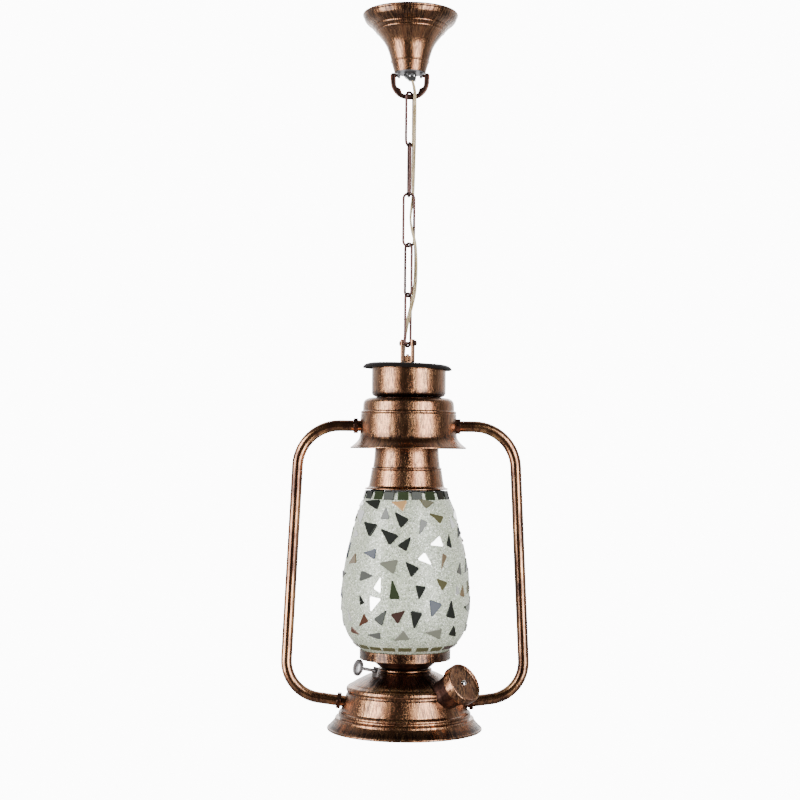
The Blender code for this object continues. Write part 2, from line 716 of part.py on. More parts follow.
def make_burner(pivot):
    """The collar that holds the glass, the dark cone under it and the ring on the tank's top."""
    wall, bore = COLLAR_RADIUS - 0.9, TIE_RADIUS + GAP
    collar = [
        (COLLAR_RADIUS, COLLAR_TOP), (COLLAR_RADIUS, COLLAR_BOTTOM), (wall, COLLAR_BOTTOM), (wall, COLLAR_FLOOR - 1),
        (bore, COLLAR_FLOOR - 1), (bore, COLLAR_FLOOR), (wall, COLLAR_FLOOR), (wall, COLLAR_TOP),
    ]
    add("glass_collar", turned("collar", collar), copper(), pivot)
    cone_top = COLLAR_FLOOR - 1 - GAP
    cone = [(27.6, cone_top), (27.4, -521.6), (19.0, CONE_BOTTOM), (bore, CONE_BOTTOM)]
    add("burner_cone", turned("cone", sheet(cone, 0.9), 28), dark_copper(), pivot)
    top = CONE_BOTTOM - GAP
    ring = [
        (bore, top), (21.2, top), (21.8, top - 0.6), (21.8, NECK_RING_BOTTOM + 0.6), (21.2, NECK_RING_BOTTOM),
        (bore, NECK_RING_BOTTOM),
    ]
    add("tank_neck_ring", turned("neck_ring", ring, 28), copper(), pivot)
    head = COLLAR_FLOOR + GAP
    bolt = [(0, head + 2.8), (3.4, head + 2.6), (4.2, head + 1.4), (4.2, head), (TIE_RADIUS, head),
            (TIE_RADIUS, -539.5), (0, -539.5)]
    add("tie_bolt", turned("tie_bolt", bolt, 16), zinc(), pivot)
    nut = hex_nut("tie_nut", 7, TIE_RADIUS + GAP, 3)
    add("tie_nut", nut, zinc(), pivot, aimed(Z_AXIS, (0, 0, TANK_TOP - SHEET - GAP - 3)))


# ---------------------------------------------------------------- tank
def tank_outline():
    """Dome, shoulder, wall that widens downwards, foot bead and a flared foot with a rolled rim."""
    return [
        (TIE_RADIUS + GAP, TANK_TOP), (20.5, -532.1), (29.4, -535.3), (38.4, -540.0), (43.9, -543.2),
        (46.4, -545.1), (46.9, -547.2), (46.7, -548.9), (49.4, -557.2), (51.6, -564.2), (53.5, -565.8), (53.5, -568.5), (56.2, -570.0),
        (62.4, -577.8), (62.6, -579.3),
    ]


def tank_clearance(name):
    """A solid a little larger than the tank, to trim what stands on it."""
    outer = tank_outline()
    grown = [(radius + 0.25, height + 0.25) for radius, height in outer[1:-3]]
    return turned(name, [(0, grown[0][1] + 0.2), *grown, (grown[-1][0], -580), (0, -580)])


def lower_tube_axis(side):
    return Vector((-side * math.cos(TUBE_LOW_SLOPE), 0, -math.sin(TUBE_LOW_SLOPE)))


def lower_tube_point(side, reach):
    """The point of a tube's lower run at that distance from the lantern's middle plane."""
    corner, height = TUBE_LOW_CORNER
    return Vector((side * reach, 0, height - (corner - reach) * math.tan(TUBE_LOW_SLOPE)))


def make_tank(pivot):
    tank = add("tank", turned("tank", sheet(tank_outline())), copper(), pivot)
    for side in (-1, 1):
        hole = round_bar(f"tank_tube_hole_{side}", TUBE_RADIUS + GAP, -14, 14)
        shape(tank, hole, aimed(lower_tube_axis(side), lower_tube_point(side, 50)))
    plate = [(0, -576.6), (59.0, -576.6), (59.6, -577.5), (0, -577.5)]
    add("tank_bottom", turned("tank_bottom", plate), zinc(), pivot)


def make_side_tube(side, name, pivot):
    """A bent tube from the hood's drum to the tank, with a nut on each side of both walls."""
    corner, height = TUBE_LOW_CORNER
    corners = [
        Vector((side * TUBE_TOP_END, 0, TUBE_TOP_HEIGHT)),
        Vector((side * TUBE_TOP_CORNER, 0, TUBE_TOP_HEIGHT)),
        Vector((side * corner, 0, height)),
        lower_tube_point(side, TUBE_LOW_END),
    ]
    route = rounded(corners, (TUBE_TOP_BEND, TUBE_LOW_BEND))
    mesh = swept(f"tube_{name}", route, Y_AXIS, TUBE_RADIUS, 12, bore=TUBE_BORE)
    add(f"side_tube_{name}", mesh, copper(), pivot)
    nut = hex_nut(f"tube_nut_{name}", NUT_FLATS, TUBE_RADIUS + GAP, NUT_THICKNESS)
    out, low_out = side * X_AXIS, -lower_tube_axis(side)
    places = {
        f"upper_tube_nut_{name}": aimed(out, (side * 39.7, 0, TUBE_TOP_HEIGHT)),
        f"upper_tube_locknut_{name}": aimed(out, (side * 33.9, 0, TUBE_TOP_HEIGHT)),
        f"lower_tube_nut_{name}": aimed(low_out, lower_tube_point(side, 51.6)),
        f"lower_tube_locknut_{name}": aimed(low_out, lower_tube_point(side, 43.0)),
    }
    for nut_name, place in places.items():
        add(nut_name, nut, dark_copper(), pivot, place)


# ---------------------------------------------------------------- wick knob
def knob_axis():
    flat = math.cos(KNOB_RISE)
    return Vector((flat * math.cos(KNOB_TURN), flat * math.sin(KNOB_TURN), math.sin(KNOB_RISE)))


def knob_centre():
    return Vector((KNOB_REACH * math.cos(KNOB_TURN), KNOB_REACH * math.sin(KNOB_TURN), KNOB_HEIGHT))


def make_knob(pivot, lantern):
    place = aimed(knob_axis(), knob_centre())
    bore = SHAFT_RADIUS + GAP
    knob = [
        (0, 2.6), (2.8, 2.4), (4.9, 1.6), (6.0, 0.5), (6.2, -0.6), (5.8, -1.6), (3.0, -1.9), (2.6, -4.0), (bore, -4.0),
        (bore, 0.5), (0, 0.5),
    ]
    add("wick_knob", turned("wick_knob", knob, 24), chrome(), pivot, place)
    head = SHAFT_BRACKET_AT - 1.0
    shaft = [(0, 0.2), (SHAFT_RADIUS, 0.2), (SHAFT_RADIUS, head), (2.7, head), (2.7, head - 1.6), (0, head - 2.0)]
    add("wick_shaft", turned("wick_shaft", shaft, 12), chrome(), pivot, place)
    make_shaft_bracket(lantern)


def make_shaft_bracket(pivot):
    """A small angle bracket on the tank's dome that carries the wick shaft."""
    outward = knob_axis()
    across = outward.cross(Z_AXIS).normalized()
    up = across.cross(outward)
    at = knob_centre() + outward * SHAFT_BRACKET_AT
    turn = Matrix((outward, across, up)).transposed().to_4x4()
    outline = [(-0.6, -7), (0.6, -7), (0.6, 3.2), (-0.6, 3.2), (-0.6, -3.4), (-3.4, -3.4), (-3.4, -7)]
    place = Matrix.Translation(at * MM) @ turn
    bracket = add("shaft_bracket", extruded("shaft_bracket", outline, 7), zinc(), pivot, place)
    hole = round_bar("shaft_hole", SHAFT_RADIUS + GAP, -3, 3, 12)
    shape(bracket, hole, aimed(outward, at))
    shape(bracket, tank_clearance("bracket_seat"))


# ---------------------------------------------------------------- filler
def make_filler(pivot):
    place = aimed(CAP_AXIS, CAP_CENTRE)
    hole = SCREW_RADIUS + GAP
    cup = [
        (0, -14), (hole, -14), (hole, -6.2), (3.4, -6.2), (3.4, -11.5), (12.2, -11.5), (13.2, -5.4), (14.7, -5.4),
        (14.0, -10), (12.5, -18), (12.0, -28), (0, -28),
    ]
    body = add("filler_cup", turned("filler_cup", cup, 28), dark_copper(), pivot, place)
    shape(body, tank_clearance("filler_seat"))
    cap = [
        (hole, -1.5), (12.2, -1.6), (14.4, -1.3), (15.1, -0.3), (15.7, 0), (CAP_RADIUS, -0.5), (CAP_RADIUS, -7.0),
        (15.7, -7.6), (15.1, -7.6), (15.1, -2.8), (hole, -2.8),
    ]
    add("filler_cap", turned("filler_cap", cap, 28), copper(), pivot, place)
    screw = [(0, 0.5), (1.6, 0.3), (2.5, -0.4), (2.5, -1.2), (SCREW_RADIUS, -1.2), (SCREW_RADIUS, -13), (0, -13)]
    add("filler_cap_screw", turned("filler_cap_screw", screw, 16), chrome(), pivot, place)


# ---------------------------------------------------------------- assembly
def main():
    for obj in list(bpy.data.objects):
        bpy.data.objects.remove(obj, do_unlink=True)
    ring = make_pivot("hook_ring_pivot", (0, 0, RING_PIN_HEIGHT))
    heights = [RING_BAR_HEIGHT]
    heights += [FIRST_LINK_BOTTOM - LINK_PITCH * i for i in range(len(LINK_TURNS) - 1)]
    links = [make_pivot(f"chain_link_{i + 1}_pivot", (0, 0, height)) for i, height in enumerate(heights)]
    lantern = make_pivot("lantern_pivot", (0, 0, BOLT_HEIGHT))
    knob = make_pivot("wick_knob_pivot", knob_centre())
    bpy.context.view_layer.update()

    make_ceiling_bracket()
    make_nipple()
    make_terminal_block()
    make_canopy()
    make_hanger_plate()
    make_cord_grip()
    make_hook_ring(ring)
    make_chain(links)
    make_flex([None, *links, lantern])
    make_clevis(lantern)
    make_hanger_screw(lantern)
    make_lid(lantern)
    make_bowl(lantern)
    make_hood(lantern)
    make_neck(lantern)
    make_lampholder(lantern)
    make_bulb(lantern)
    make_glass(lantern)
    make_burner(lantern)
    make_tank(lantern)
    for side, name in ((-1, "left"), (1, "right")):
        make_side_tube(side, name, lantern)
    make_knob(knob, lantern)
    make_filler(lantern)


main()
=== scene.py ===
"""Looks of the hanging lantern: antique copper, mosaic glass, mirror chips, chain and clear twin flex.

Shapes are in millimetres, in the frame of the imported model, and MM turns them into metres. Every visible
piece is turned, bent or cast here with its real edges, and stands for the plain node of the same place.
"""

import json
import math
import random

import bmesh
import bpy
from mathutils import Matrix, Vector


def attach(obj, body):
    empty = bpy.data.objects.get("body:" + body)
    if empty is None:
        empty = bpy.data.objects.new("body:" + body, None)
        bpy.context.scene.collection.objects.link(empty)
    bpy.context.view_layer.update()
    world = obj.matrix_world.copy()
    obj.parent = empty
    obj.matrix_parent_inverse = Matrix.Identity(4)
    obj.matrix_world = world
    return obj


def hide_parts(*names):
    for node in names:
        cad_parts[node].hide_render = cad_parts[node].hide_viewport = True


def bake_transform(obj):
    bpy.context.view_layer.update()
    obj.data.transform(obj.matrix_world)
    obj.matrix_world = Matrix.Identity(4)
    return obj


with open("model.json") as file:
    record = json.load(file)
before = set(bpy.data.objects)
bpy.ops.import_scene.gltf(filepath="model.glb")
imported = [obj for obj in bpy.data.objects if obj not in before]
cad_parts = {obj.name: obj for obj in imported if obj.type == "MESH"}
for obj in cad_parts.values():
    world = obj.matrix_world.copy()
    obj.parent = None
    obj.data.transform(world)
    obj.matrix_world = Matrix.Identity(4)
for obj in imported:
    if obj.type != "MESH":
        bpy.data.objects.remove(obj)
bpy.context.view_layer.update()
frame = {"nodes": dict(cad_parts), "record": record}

MM = 0.001
ORIGIN = Vector((0, 0, 0))
X_AXIS, Y_AXIS, Z_AXIS = Vector((1, 0, 0)), Vector((0, 1, 0)), Vector((0, 0, 1))
WHITE = (1, 1, 1, 1)
LANTERN, CEILING = "lantern", "ceiling_mount"


# --------------- stage
LENS, LENS_RISE = 72.7, 0.0596
CAMERA_AT, CAMERA_ROLL = (-0.0055, -1.309, -0.3515), 0.5
LIGHT_AIM = Vector((0, 0, -0.36))
FLOOR_RADIUS, FLOOR_HEIGHT = 0.95, -0.86
BACKDROP_STRENGTH = 12  # what the camera sees behind the lantern
ROOM_DARK = (0.035, 0.033, 0.031, 1)  # what the metal mirrors on the camera's side


def in_scene(name, data):
    made = bpy.data.objects.new(name, data)
    bpy.context.scene.collection.objects.link(made)
    return made


def make_camera():
    lens = bpy.data.cameras.new("camera")
    lens.lens = LENS
    lens.clip_start = 0.01
    lens.shift_y = LENS_RISE
    camera = in_scene("camera", lens)
    tilt = Matrix.Rotation(math.radians(90), 4, "X") @ Matrix.Rotation(math.radians(CAMERA_ROLL), 4, "Z")
    camera.matrix_world = Matrix.Translation(CAMERA_AT) @ tilt
    bpy.context.scene.camera = camera


def make_softbox(name, turn, distance, height, size, power):
    """A rectangular light at a turn from the front, positive to the right, aimed at the lantern's axis."""
    light = bpy.data.lights.new(name, "AREA")
    light.shape = "RECTANGLE"
    light.size, light.size_y = size
    light.energy = power
    lamp = in_scene(name, light)
    lamp.visible_camera = False
    angle = math.radians(turn)
    at = Vector((math.sin(angle) * distance, -math.cos(angle) * distance, height))
    aim = LIGHT_AIM - at
    lamp.matrix_world = Matrix.Translation(at) @ aim.to_track_quat("-Z", "Y").to_matrix().to_4x4()


def add_node(tree, kind, inputs=None, **settings):
    """A shader node. An input is another node's output, or a constant."""
    made = tree.nodes.new("ShaderNode" + kind)
    for key, value in settings.items():
        setattr(made, key, value)
    for key, value in (inputs or {}).items():
        if isinstance(value, bpy.types.NodeSocket):
            tree.links.new(value, made.inputs[key])
        else:
            made.inputs[key].default_value = value
    return made


def make_floor():
    mesh = bpy.data.meshes.new("floor")
    bm = bmesh.new()
    bmesh.ops.create_circle(bm, cap_ends=True, segments=96, radius=FLOOR_RADIUS)
    bm.to_mesh(mesh)
    bm.free()
    floor = in_scene("floor", mesh)
    floor.location.z = FLOOR_HEIGHT
    mesh.materials.append(Nodes("pale_floor", (0.18, 0.17, 0.17), roughness=0.7).material)


def make_room():
    """The camera sees white. The metal mirrors a room that is dark in front and bright behind."""
    world = bpy.data.worlds.new("studio")
    bpy.context.scene.world = world
    world.use_nodes = True
    tree = world.node_tree
    tree.nodes.clear()
    where = add_node(tree, "TexCoord").outputs["Generated"]
    split = add_node(tree, "SeparateXYZ", {0: where})
    level = add_node(tree, "MapRange", {"Value": split.outputs["Y"], "From Min": -1})
    ramp = add_node(tree, "ValToRGB", {"Fac": level.outputs["Result"]})
    for end, position, colour in zip(ramp.color_ramp.elements, (0.49, 0.80), (ROOM_DARK, WHITE)):
        end.position = position
        end.color = colour
    room = add_node(tree, "Background", {"Color": ramp.outputs["Color"]})
    seen = add_node(tree, "Background", {"Color": WHITE, "Strength": BACKDROP_STRENGTH})
    is_seen = add_node(tree, "LightPath").outputs["Is Camera Ray"]
    mix = add_node(tree, "MixShader", {"Fac": is_seen, 1: room.outputs[0], 2: seen.outputs[0]})
    add_node(tree, "OutputWorld", {"Surface": mix.outputs[0]})


def make_stage():
    make_floor()
    make_room()
    make_softbox("softbox_left", -62, 1.5, -0.25, (0.85, 1.7), 58)
    make_softbox("softbox_right", 42, 1.5, -0.25, (0.8, 1.7), 54)
    make_softbox("back_light", 180, 1.6, 0.1, (1.6, 1.2), 14)


# --------------- materials
class Nodes:
    """A material's node tree, built in few words."""

    def __init__(self, name, colour=(0.8, 0.8, 0.8), metallic=0.0, roughness=0.4, **sockets):
        self.material = bpy.data.materials.new(name)
        self.material.use_nodes = True
        self.tree = self.material.node_tree
        self.shader = self.tree.nodes["Principled BSDF"]
        self.shader.inputs["Base Color"].default_value = (*colour, 1)
        self.shader.inputs["Metallic"].default_value = metallic
        self.shader.inputs["Roughness"].default_value = roughness
        for socket, value in sockets.items():
            self.shader.inputs[socket.replace("_", " ")].default_value = value

    def node(self, kind, inputs=None, **settings):
        return add_node(self.tree, kind, inputs, **settings)

    def place(self):
        return self.node("TexCoord").outputs["Object"]

    def around(self, turns, length):
        """Coordinates for streaks along Z: turns of texture around the axis, length in units a metre."""
        split = self.node("SeparateXYZ", {0: self.place()})
        flat = self.node("CombineXYZ", {0: split.outputs[0], 1: split.outputs[1]})
        unit = self.node("VectorMath", {0: flat.outputs[0]}, operation="NORMALIZE")
        ring = self.node("VectorMath", {0: unit.outputs[0], "Scale": turns}, operation="SCALE")
        tall = self.node("Math", {0: split.outputs[2], 1: length}, operation="MULTIPLY")
        up = self.node("CombineXYZ", {2: tall.outputs[0]})
        return self.node("VectorMath", {0: ring.outputs[0], 1: up.outputs[0]}, operation="ADD").outputs[0]

    def stretched(self, scale):
        return self.node("VectorMath", {0: self.place(), 1: scale}, operation="MULTIPLY").outputs[0]

    def noise(self, where, scale=1.0, detail=3.0, rough=0.55, warp=0.0):
        found = self.node("TexNoise", {"Vector": where, "Scale": scale, "Detail": detail, "Roughness": rough,
                                       "Distortion": warp})
        return found.outputs["Fac"]

    def level(self, value, low, high, out_low=0.0, out_high=1.0):
        ranged = self.node("MapRange", {"Value": value, "From Min": low, "From Max": high, "To Min": out_low,
                                        "To Max": out_high})
        return ranged.outputs["Result"]

    def times(self, one, two, operation="MULTIPLY"):
        return self.node("Math", {0: one, 1: two}, operation=operation).outputs[0]

    def blend(self, share, one, two):
        mixed = self.node("Mix", data_type="RGBA")
        for key, value in ((0, share), (6, one), (7, two)):
            if isinstance(value, bpy.types.NodeSocket):
                self.tree.links.new(value, mixed.inputs[key])
            else:
                mixed.inputs[key].default_value = value if key == 0 else (*value, 1)
        return mixed.outputs[2]

    def set(self, socket, value):
        self.tree.links.new(value, self.shader.inputs[socket])

    def bump(self, height, strength, distance):
        bumped = self.node("Bump", {"Height": height, "Strength": strength, "Distance": distance})
        self.set("Normal", bumped.outputs[0])


def copper(name, streaks, dark, shade_bands=()):
    """Copper brushed over with black, then lacquered: short fine streaks. Each given height gets extra black
    as painted shade.
    """
    made = Nodes(name, metallic=1.0, roughness=0.3, Coat_Weight=0.3, Coat_Roughness=0.15)
    fine, broad = streaks(made)
    hairs = made.noise(fine, 1.0, 4.0, 0.75, 0.3)
    patches = made.noise(broad, 1.0, 3.0, 0.6, 0.4)
    mottle = made.noise(made.place(), 800.0, 3.0, 0.65)
    weight = made.times(made.times(hairs, 0.55), made.times(patches, 0.35), "ADD")
    weight = made.times(weight, made.times(mottle, 0.2), "ADD")
    # Painted shade: each band adds black near one height, where the copper lies in a crease or mirrors the
    # dark room.
    if shade_bands:
        height = made.node("SeparateXYZ", {0: made.place()}).outputs[2]
        for middle, reach, strength in shade_bands:
            off = made.times(made.times(height, middle * MM, "SUBTRACT"), 0.0, "ABSOLUTE")
            weight = made.times(weight, made.level(off, 0.0, reach * MM, strength, 0.0), "ADD")
    # The brushed black finish, together with the painted shade of the bands.
    black_and_shade = made.level(weight, 0.55 - 0.06 * dark, 0.73 - 0.08 * dark)
    tone = made.blend(made.level(patches, 0.35, 0.7), (0.38, 0.170, 0.080), (0.63, 0.345, 0.17))
    warm = made.blend(made.level(hairs, 0.38, 0.6), tone, (0.17, 0.072, 0.042))
    made.set("Base Color", made.blend(black_and_shade, warm, (0.03, 0.014, 0.010)))
    made.set("Roughness", made.level(weight, 0.42, 0.75, 0.16, 0.36))
    made.bump(made.times(hairs, black_and_shade, "SUBTRACT"), 0.35, 0.0002)
    return made.material


def turned_streaks(turns, length):
    def streaks(made):
        return made.around(turns, length), made.around(turns * 0.12, length * 0.22)
    return streaks


def straight_streaks(fine, broad):
    def streaks(made):
        return made.stretched(fine), made.stretched(broad)
    return streaks


def plain_metal(name, colour, roughness, grain=900.0, depth=0.15):
    made = Nodes(name, colour, 1.0, roughness)
    speckle = made.noise(made.place(), grain, 4.0, 0.65)
    dim = tuple(c * 0.62 for c in colour)
    made.set("Base Color", made.blend(made.level(speckle, 0.35, 0.65), dim, colour))
    made.set("Roughness", made.level(speckle, 0.3, 0.7, roughness * 0.8, min(1, roughness * 1.35)))
    made.bump(speckle, depth, 0.0001)
    return made.material


def plain_dull(name, colour, roughness, grain=1400.0, shine=0.5):
    made = Nodes(name, colour, 0.0, roughness, Specular_IOR_Level=shine)
    speckle = made.noise(made.place(), grain, 3.0, 0.6)
    pale = tuple(min(1, c * 1.7 + 0.002) for c in colour)
    made.set("Base Color", made.blend(made.level(speckle, 0.45, 0.75), colour, pale))
    made.set("Roughness", made.level(speckle, 0.3, 0.7, roughness * 0.85, min(1, roughness * 1.2)))
    made.bump(speckle, 0.12, 0.0001)
    return made.material


def glitter():
    """Crushed glass in pale grout: grains under a millimetre across, each with its own tone and tilt."""
    made = Nodes("glitter", roughness=0.4, Coat_Weight=0.25, Coat_Roughness=0.2, Specular_IOR_Level=0.6)
    grains = made.node("TexVoronoi", {"Vector": made.place(), "Scale": 1450.0, "Randomness": 1.0})
    shade = made.node("SeparateColor", {0: grains.outputs["Color"]})
    clouds = made.noise(made.place(), 60.0, 3.0, 0.6)
    base = made.blend(made.level(clouds, 0.3, 0.7), (0.385, 0.43, 0.315), (0.475, 0.51, 0.39))
    darker = made.blend(made.level(shade.outputs[0], 0.0, 0.6, 0.95, 0.0), base, (0.12, 0.14, 0.10))
    sparkle = made.level(shade.outputs[1], 0.84, 0.90)
    made.set("Base Color", made.blend(sparkle, darker, (0.85, 0.87, 0.8)))
    made.set("Roughness", made.level(shade.outputs[2], 0.0, 1.0, 0.18, 0.6))
    made.set("Metallic", made.level(sparkle, 0.0, 1.0, 0.0, 0.3))
    made.bump(made.times(grains.outputs["Distance"], shade.outputs[0], "ADD"), 0.35, 0.00025)
    return made.material


def mirror(name, colour, silver, shine):
    """A chip of tinted mirror glass. The paler ones are part silvered, so their own tone shows too."""
    made = Nodes(name, colour, silver, 0.06, Coat_Weight=0.2 * shine, Coat_Roughness=0.04,
                 Specular_IOR_Level=shine)
    haze = made.noise(made.place(), 700.0, 3.0, 0.6)
    made.set("Roughness", made.level(haze, 0.4, 0.8, 0.05, 0.16))
    return made.material


def clear_plastic():
    """The flex's clear jacket, a little yellowed."""
    made = Nodes("flex_jacket", (0.62, 0.50, 0.33), 0.0, 0.18, Transmission_Weight=0.25, IOR=1.4)
    ripple = made.noise(made.place(), 120.0, 2.0, 0.5)
    share = made.level(ripple, 0.35, 0.65)
    made.set("Base Color", made.blend(share, (0.33, 0.25, 0.13), (0.50, 0.40, 0.235)))
    made.bump(ripple, 0.12, 0.0002)
    return made.material


def strand_metal():
    made = Nodes("flex_strands", (0.80, 0.55, 0.28), 1.0, 0.32)
    twist = made.node("TexWave", {"Vector": made.place(), "Scale": 420.0, "Distortion": 2.0},
                      bands_direction="DIAGONAL")
    made.set("Base Color", made.blend(twist.outputs["Fac"], (0.50, 0.31, 0.13), (0.86, 0.66, 0.40)))
    made.bump(twist.outputs["Fac"], 0.4, 0.0001)
    return made.material


# After each copper's darkness come heights that get extra black: painted shade in creases and under rims (the
# bowl's foot, the hood's skirt corner, the neck's ridge, the tank's grooves, the canopy's flange) and painted
# dark reflection on the tank's dome and flare.
COPPER = copper("copper_turned", turned_streaks(60, 150), 0.5,
                ((-309, 5, 0.16), (-343, 4, 0.12), (-367, 2, 0.06)))
COPPER_TANK = copper("copper_tank", turned_streaks(80, 150), 0.7,
                     ((-537, 8, 0.10), (-549.7, 1.2, 0.10), (-566, 3, 0.04), (-575.5, 4, 0.13)))
COPPER_CANOPY = copper("copper_canopy", turned_streaks(40, 130), 0.7, ((-6, 9, 0.06),))
COPPER_TUBE = copper("copper_tube", straight_streaks((150, 150, 40), (60, 60, 18)), 0.6)
COPPER_CAP = copper("copper_cap", straight_streaks((900, 300, 160), (160, 90, 50)), 0.5)
COPPER_DARK = plain_metal("bronze_dark", (0.085, 0.043, 0.033), 0.36, 500.0, 0.2)
STEEL = plain_metal("steel_zinc", (0.17, 0.155, 0.15), 0.42)
CHROME = plain_metal("chrome", (0.78, 0.78, 0.79), 0.14, 500.0, 0.05)
CHAIN_METAL = plain_metal("chain_bronze", (0.10, 0.056, 0.050), 0.40, 420.0, 0.2)
PLATE_GREY = plain_metal("plate_grey", (0.34, 0.33, 0.34), 0.4)
BLACK = plain_dull("black_plastic", (0.018, 0.018, 0.018), 0.35)
RUBBER = plain_dull("black_rubber", (0.03, 0.03, 0.03), 0.8)
OPAL = plain_dull("opal_bulb", (0.82, 0.82, 0.80), 0.3, 300.0)
GLITTER = glitter()
JACKET = clear_plastic()
STRANDS = strand_metal()

# The lid is near black and dull: painted shade, for its underside seen from below in shadow.
LID_PAINTED_SHADE = plain_dull("lid_painted_shade", (0.006, 0.0045, 0.004), 0.5, 1400.0, 0.08)
# The collar's band darkens it over its whole height: painted shade.
COPPER_COLLAR = copper("copper_collar", turned_streaks(60, 130), 1.2, ((-518, 9, 0.08),))
KNURL = plain_metal("knurl_dark", (0.12, 0.11, 0.11), 0.35)
KNOB_METAL = plain_metal("knob_metal", (0.26, 0.255, 0.26), 0.34, 500.0, 0.05)
MIRROR_TONES = {  # colour, share of silvering and shine
    "dark": ((0.019, 0.021, 0.018), 0.25, 0.08),
    "white": ((0.97, 0.97, 0.96), 0.9, 0.5),
    "grey": ((0.08, 0.084, 0.076), 0.05, 0.2),
    "olive": ((0.070, 0.066, 0.033), 0.0, 0.08),
    "blue": ((0.03, 0.038, 0.055), 0.0, 0.15),
    "tan": ((0.16, 0.12, 0.075), 0.2, 0.5),
    "amber": ((0.42, 0.24, 0.10), 0.15, 0.5),
    "pale": ((0.15, 0.155, 0.12), 0.2, 0.5),
    "green": ((0.045, 0.06, 0.03), 0.5, 0.5),
    "rust": ((0.10, 0.045, 0.03), 0.3, 0.5),
    "umber": ((0.045, 0.024, 0.02), 0.2, 0.2),
}
MIRRORS = {tone: mirror(f"mirror_{tone}", *look) for tone, look in MIRROR_TONES.items()}

CAD_FINISH = {
    "zinc": STEEL, "chrome": KNOB_METAL, "black_plastic": BLACK, "rubber": RUBBER, "antique_copper": COPPER,
    "dark_copper": COPPER_DARK, "mosaic_glass": GLITTER, "bulb_glass": OPAL, "clear_flex": STRANDS,
}


def dress_cad_nodes():
    """Every CAD node that stays gets the full finish of its material slot."""
    for part in frame["record"]["subparts"]:
        node = frame["nodes"][part["node"]]
        node.data.materials.clear()
        node.data.materials.append(CAD_FINISH[part["material_slot"]])


# --------------- outlines
def led_in(points):
    """The points with one more before the first and after the last, straight on from them."""
    line = [Vector(point) for point in points]
    return [2 * line[0] - line[1], *line, 2 * line[-1] - line[-2]]


def between(a, b, c, d, t):
    """A point of the soft curve through a, b, c and d, at the share t of the way from b to c."""
    return 0.5 * (2 * b + (c - a) * t + (2 * a - 5 * b + 4 * c - d) * t**2 + (3 * b - a - 3 * c + d) * t**3)


def smooth(points, parts=4):
    """A soft curve through the points of an outline."""
    line = led_in(points)
    spans = zip(line, line[1:], line[2:], line[3:])
    return [*(between(*span, step / parts) for span in spans for step in range(parts)), line[-2]]


def linked(*runs, corner):
    """Runs of an outline, with a straight line across each gap and each corner pressed a little round.

    Loose points between two runs are a tuple, and only the last of them is rounded.
    """
    parts = []
    for before, run in zip(runs, runs[1:]):
        parts += [[before[-1], *run]] if isinstance(run, tuple) else [[before[-1], run[0]], run]
    line = [Vector(point) for point in runs[0]]
    for part in parts:
        run = [Vector(point) for point in part]
        before, at, after = line[-2], line[-1], run[1]
        cut = min(corner, (at - before).length * 0.45, (after - at).length * 0.45)
        first, last = at + (before - at).normalized() * cut, at + (after - at).normalized() * cut
        line = [*line[:-1], first, (first + last + 2 * at) / 4, last, *run[1:]]
    return line


def sheet(outer, thickness):
    """Sheet metal's closed outline. Its outer side is given from the top or the middle downwards."""
    line = [Vector(point) for point in outer]
    ways = [(b - a).normalized() for a, b in zip(line, line[1:])]
    sides = [Vector((way.y, -way.x)) for way in ways]
    inner = []
    for point, a, b in zip(line, [sides[0], *sides], [*sides, sides[-1]]):
        middle = (a + b).normalized()
        inner.append(point + middle * thickness / max(middle.dot(a), 0.7))
    return [*line, *reversed(inner)]


def bead(middle, radius, first, last, steps=10):
    """A rolled edge: part of a circle, between two angles in degrees."""
    turns = [math.radians(first + (last - first) * i / steps) for i in range(steps + 1)]
    return [Vector((middle[0] + radius * math.cos(t), middle[1] + radius * math.sin(t))) for t in turns]


def arc(middle, first, turn, axis, steps):
    return [
        middle + Matrix.Rotation(turn * step / steps, 3, axis) @ (first - middle) for step in range(steps + 1)
    ]


def rounded(corners, radii, steps=14, straight=6):
    """A flat route through the corners, each inner one rounded to its radius."""
    route = [corners[0]]
    for before, corner, after, radius in zip(corners, corners[1:], corners[2:], radii):
        back, on = (before - corner).normalized(), (after - corner).normalized()
        half = back.angle(on) / 2
        first = corner + back * radius / math.tan(half)
        middle = corner + (back + on).normalized() * radius / math.sin(half)
        route += [route[-1].lerp(first, i / straight) for i in range(1, straight)]
        route += arc(middle, first, math.pi - 2 * half, on.cross(back).normalized(), steps)
    route += [route[-1].lerp(corners[-1], i / straight) for i in range(1, straight)]
    return [*route, corners[-1]]


def aimed(direction, at):
    """A place whose own Z points along direction. Its point is in millimetres."""
    turn = direction.to_track_quat("Z", "Y").to_matrix().to_4x4()
    return Matrix.Translation(at * MM) @ turn


# --------------- pieces
def mesh_of(bm, name, place, sharp):
    """A mesh in metres, smooth but for edges sharper than sharp degrees."""
    bmesh.ops.remove_doubles(bm, verts=bm.verts, dist=1e-4)
    bmesh.ops.recalc_face_normals(bm, faces=bm.faces)
    bmesh.ops.scale(bm, vec=(MM, MM, MM), verts=bm.verts)
    if place:
        bm.transform(place)
    mesh = bpy.data.meshes.new(name)
    bm.to_mesh(mesh)
    bm.free()
    mesh.shade_smooth()
    mesh.set_sharp_from_angle(angle=math.radians(sharp))
    return mesh


def piece(name, bm, finish, body=None, node=None, place=None, bevel=0.0, sharp=38):
    """A visible piece that rides on a body, and stands for a CAD node if it names one."""
    mesh = mesh_of(bm, name, place, sharp)
    mesh.materials.append(finish)
    made = in_scene(name, mesh)
    if bevel:
        step = made.modifiers.new("edges", "BEVEL")
        step.width = bevel * MM
        step.segments = 3
        step.limit_method = "ANGLE"
        step.angle_limit = math.radians(35)
    if body:
        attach(made, body)
    if node:
        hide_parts(node)
    return made


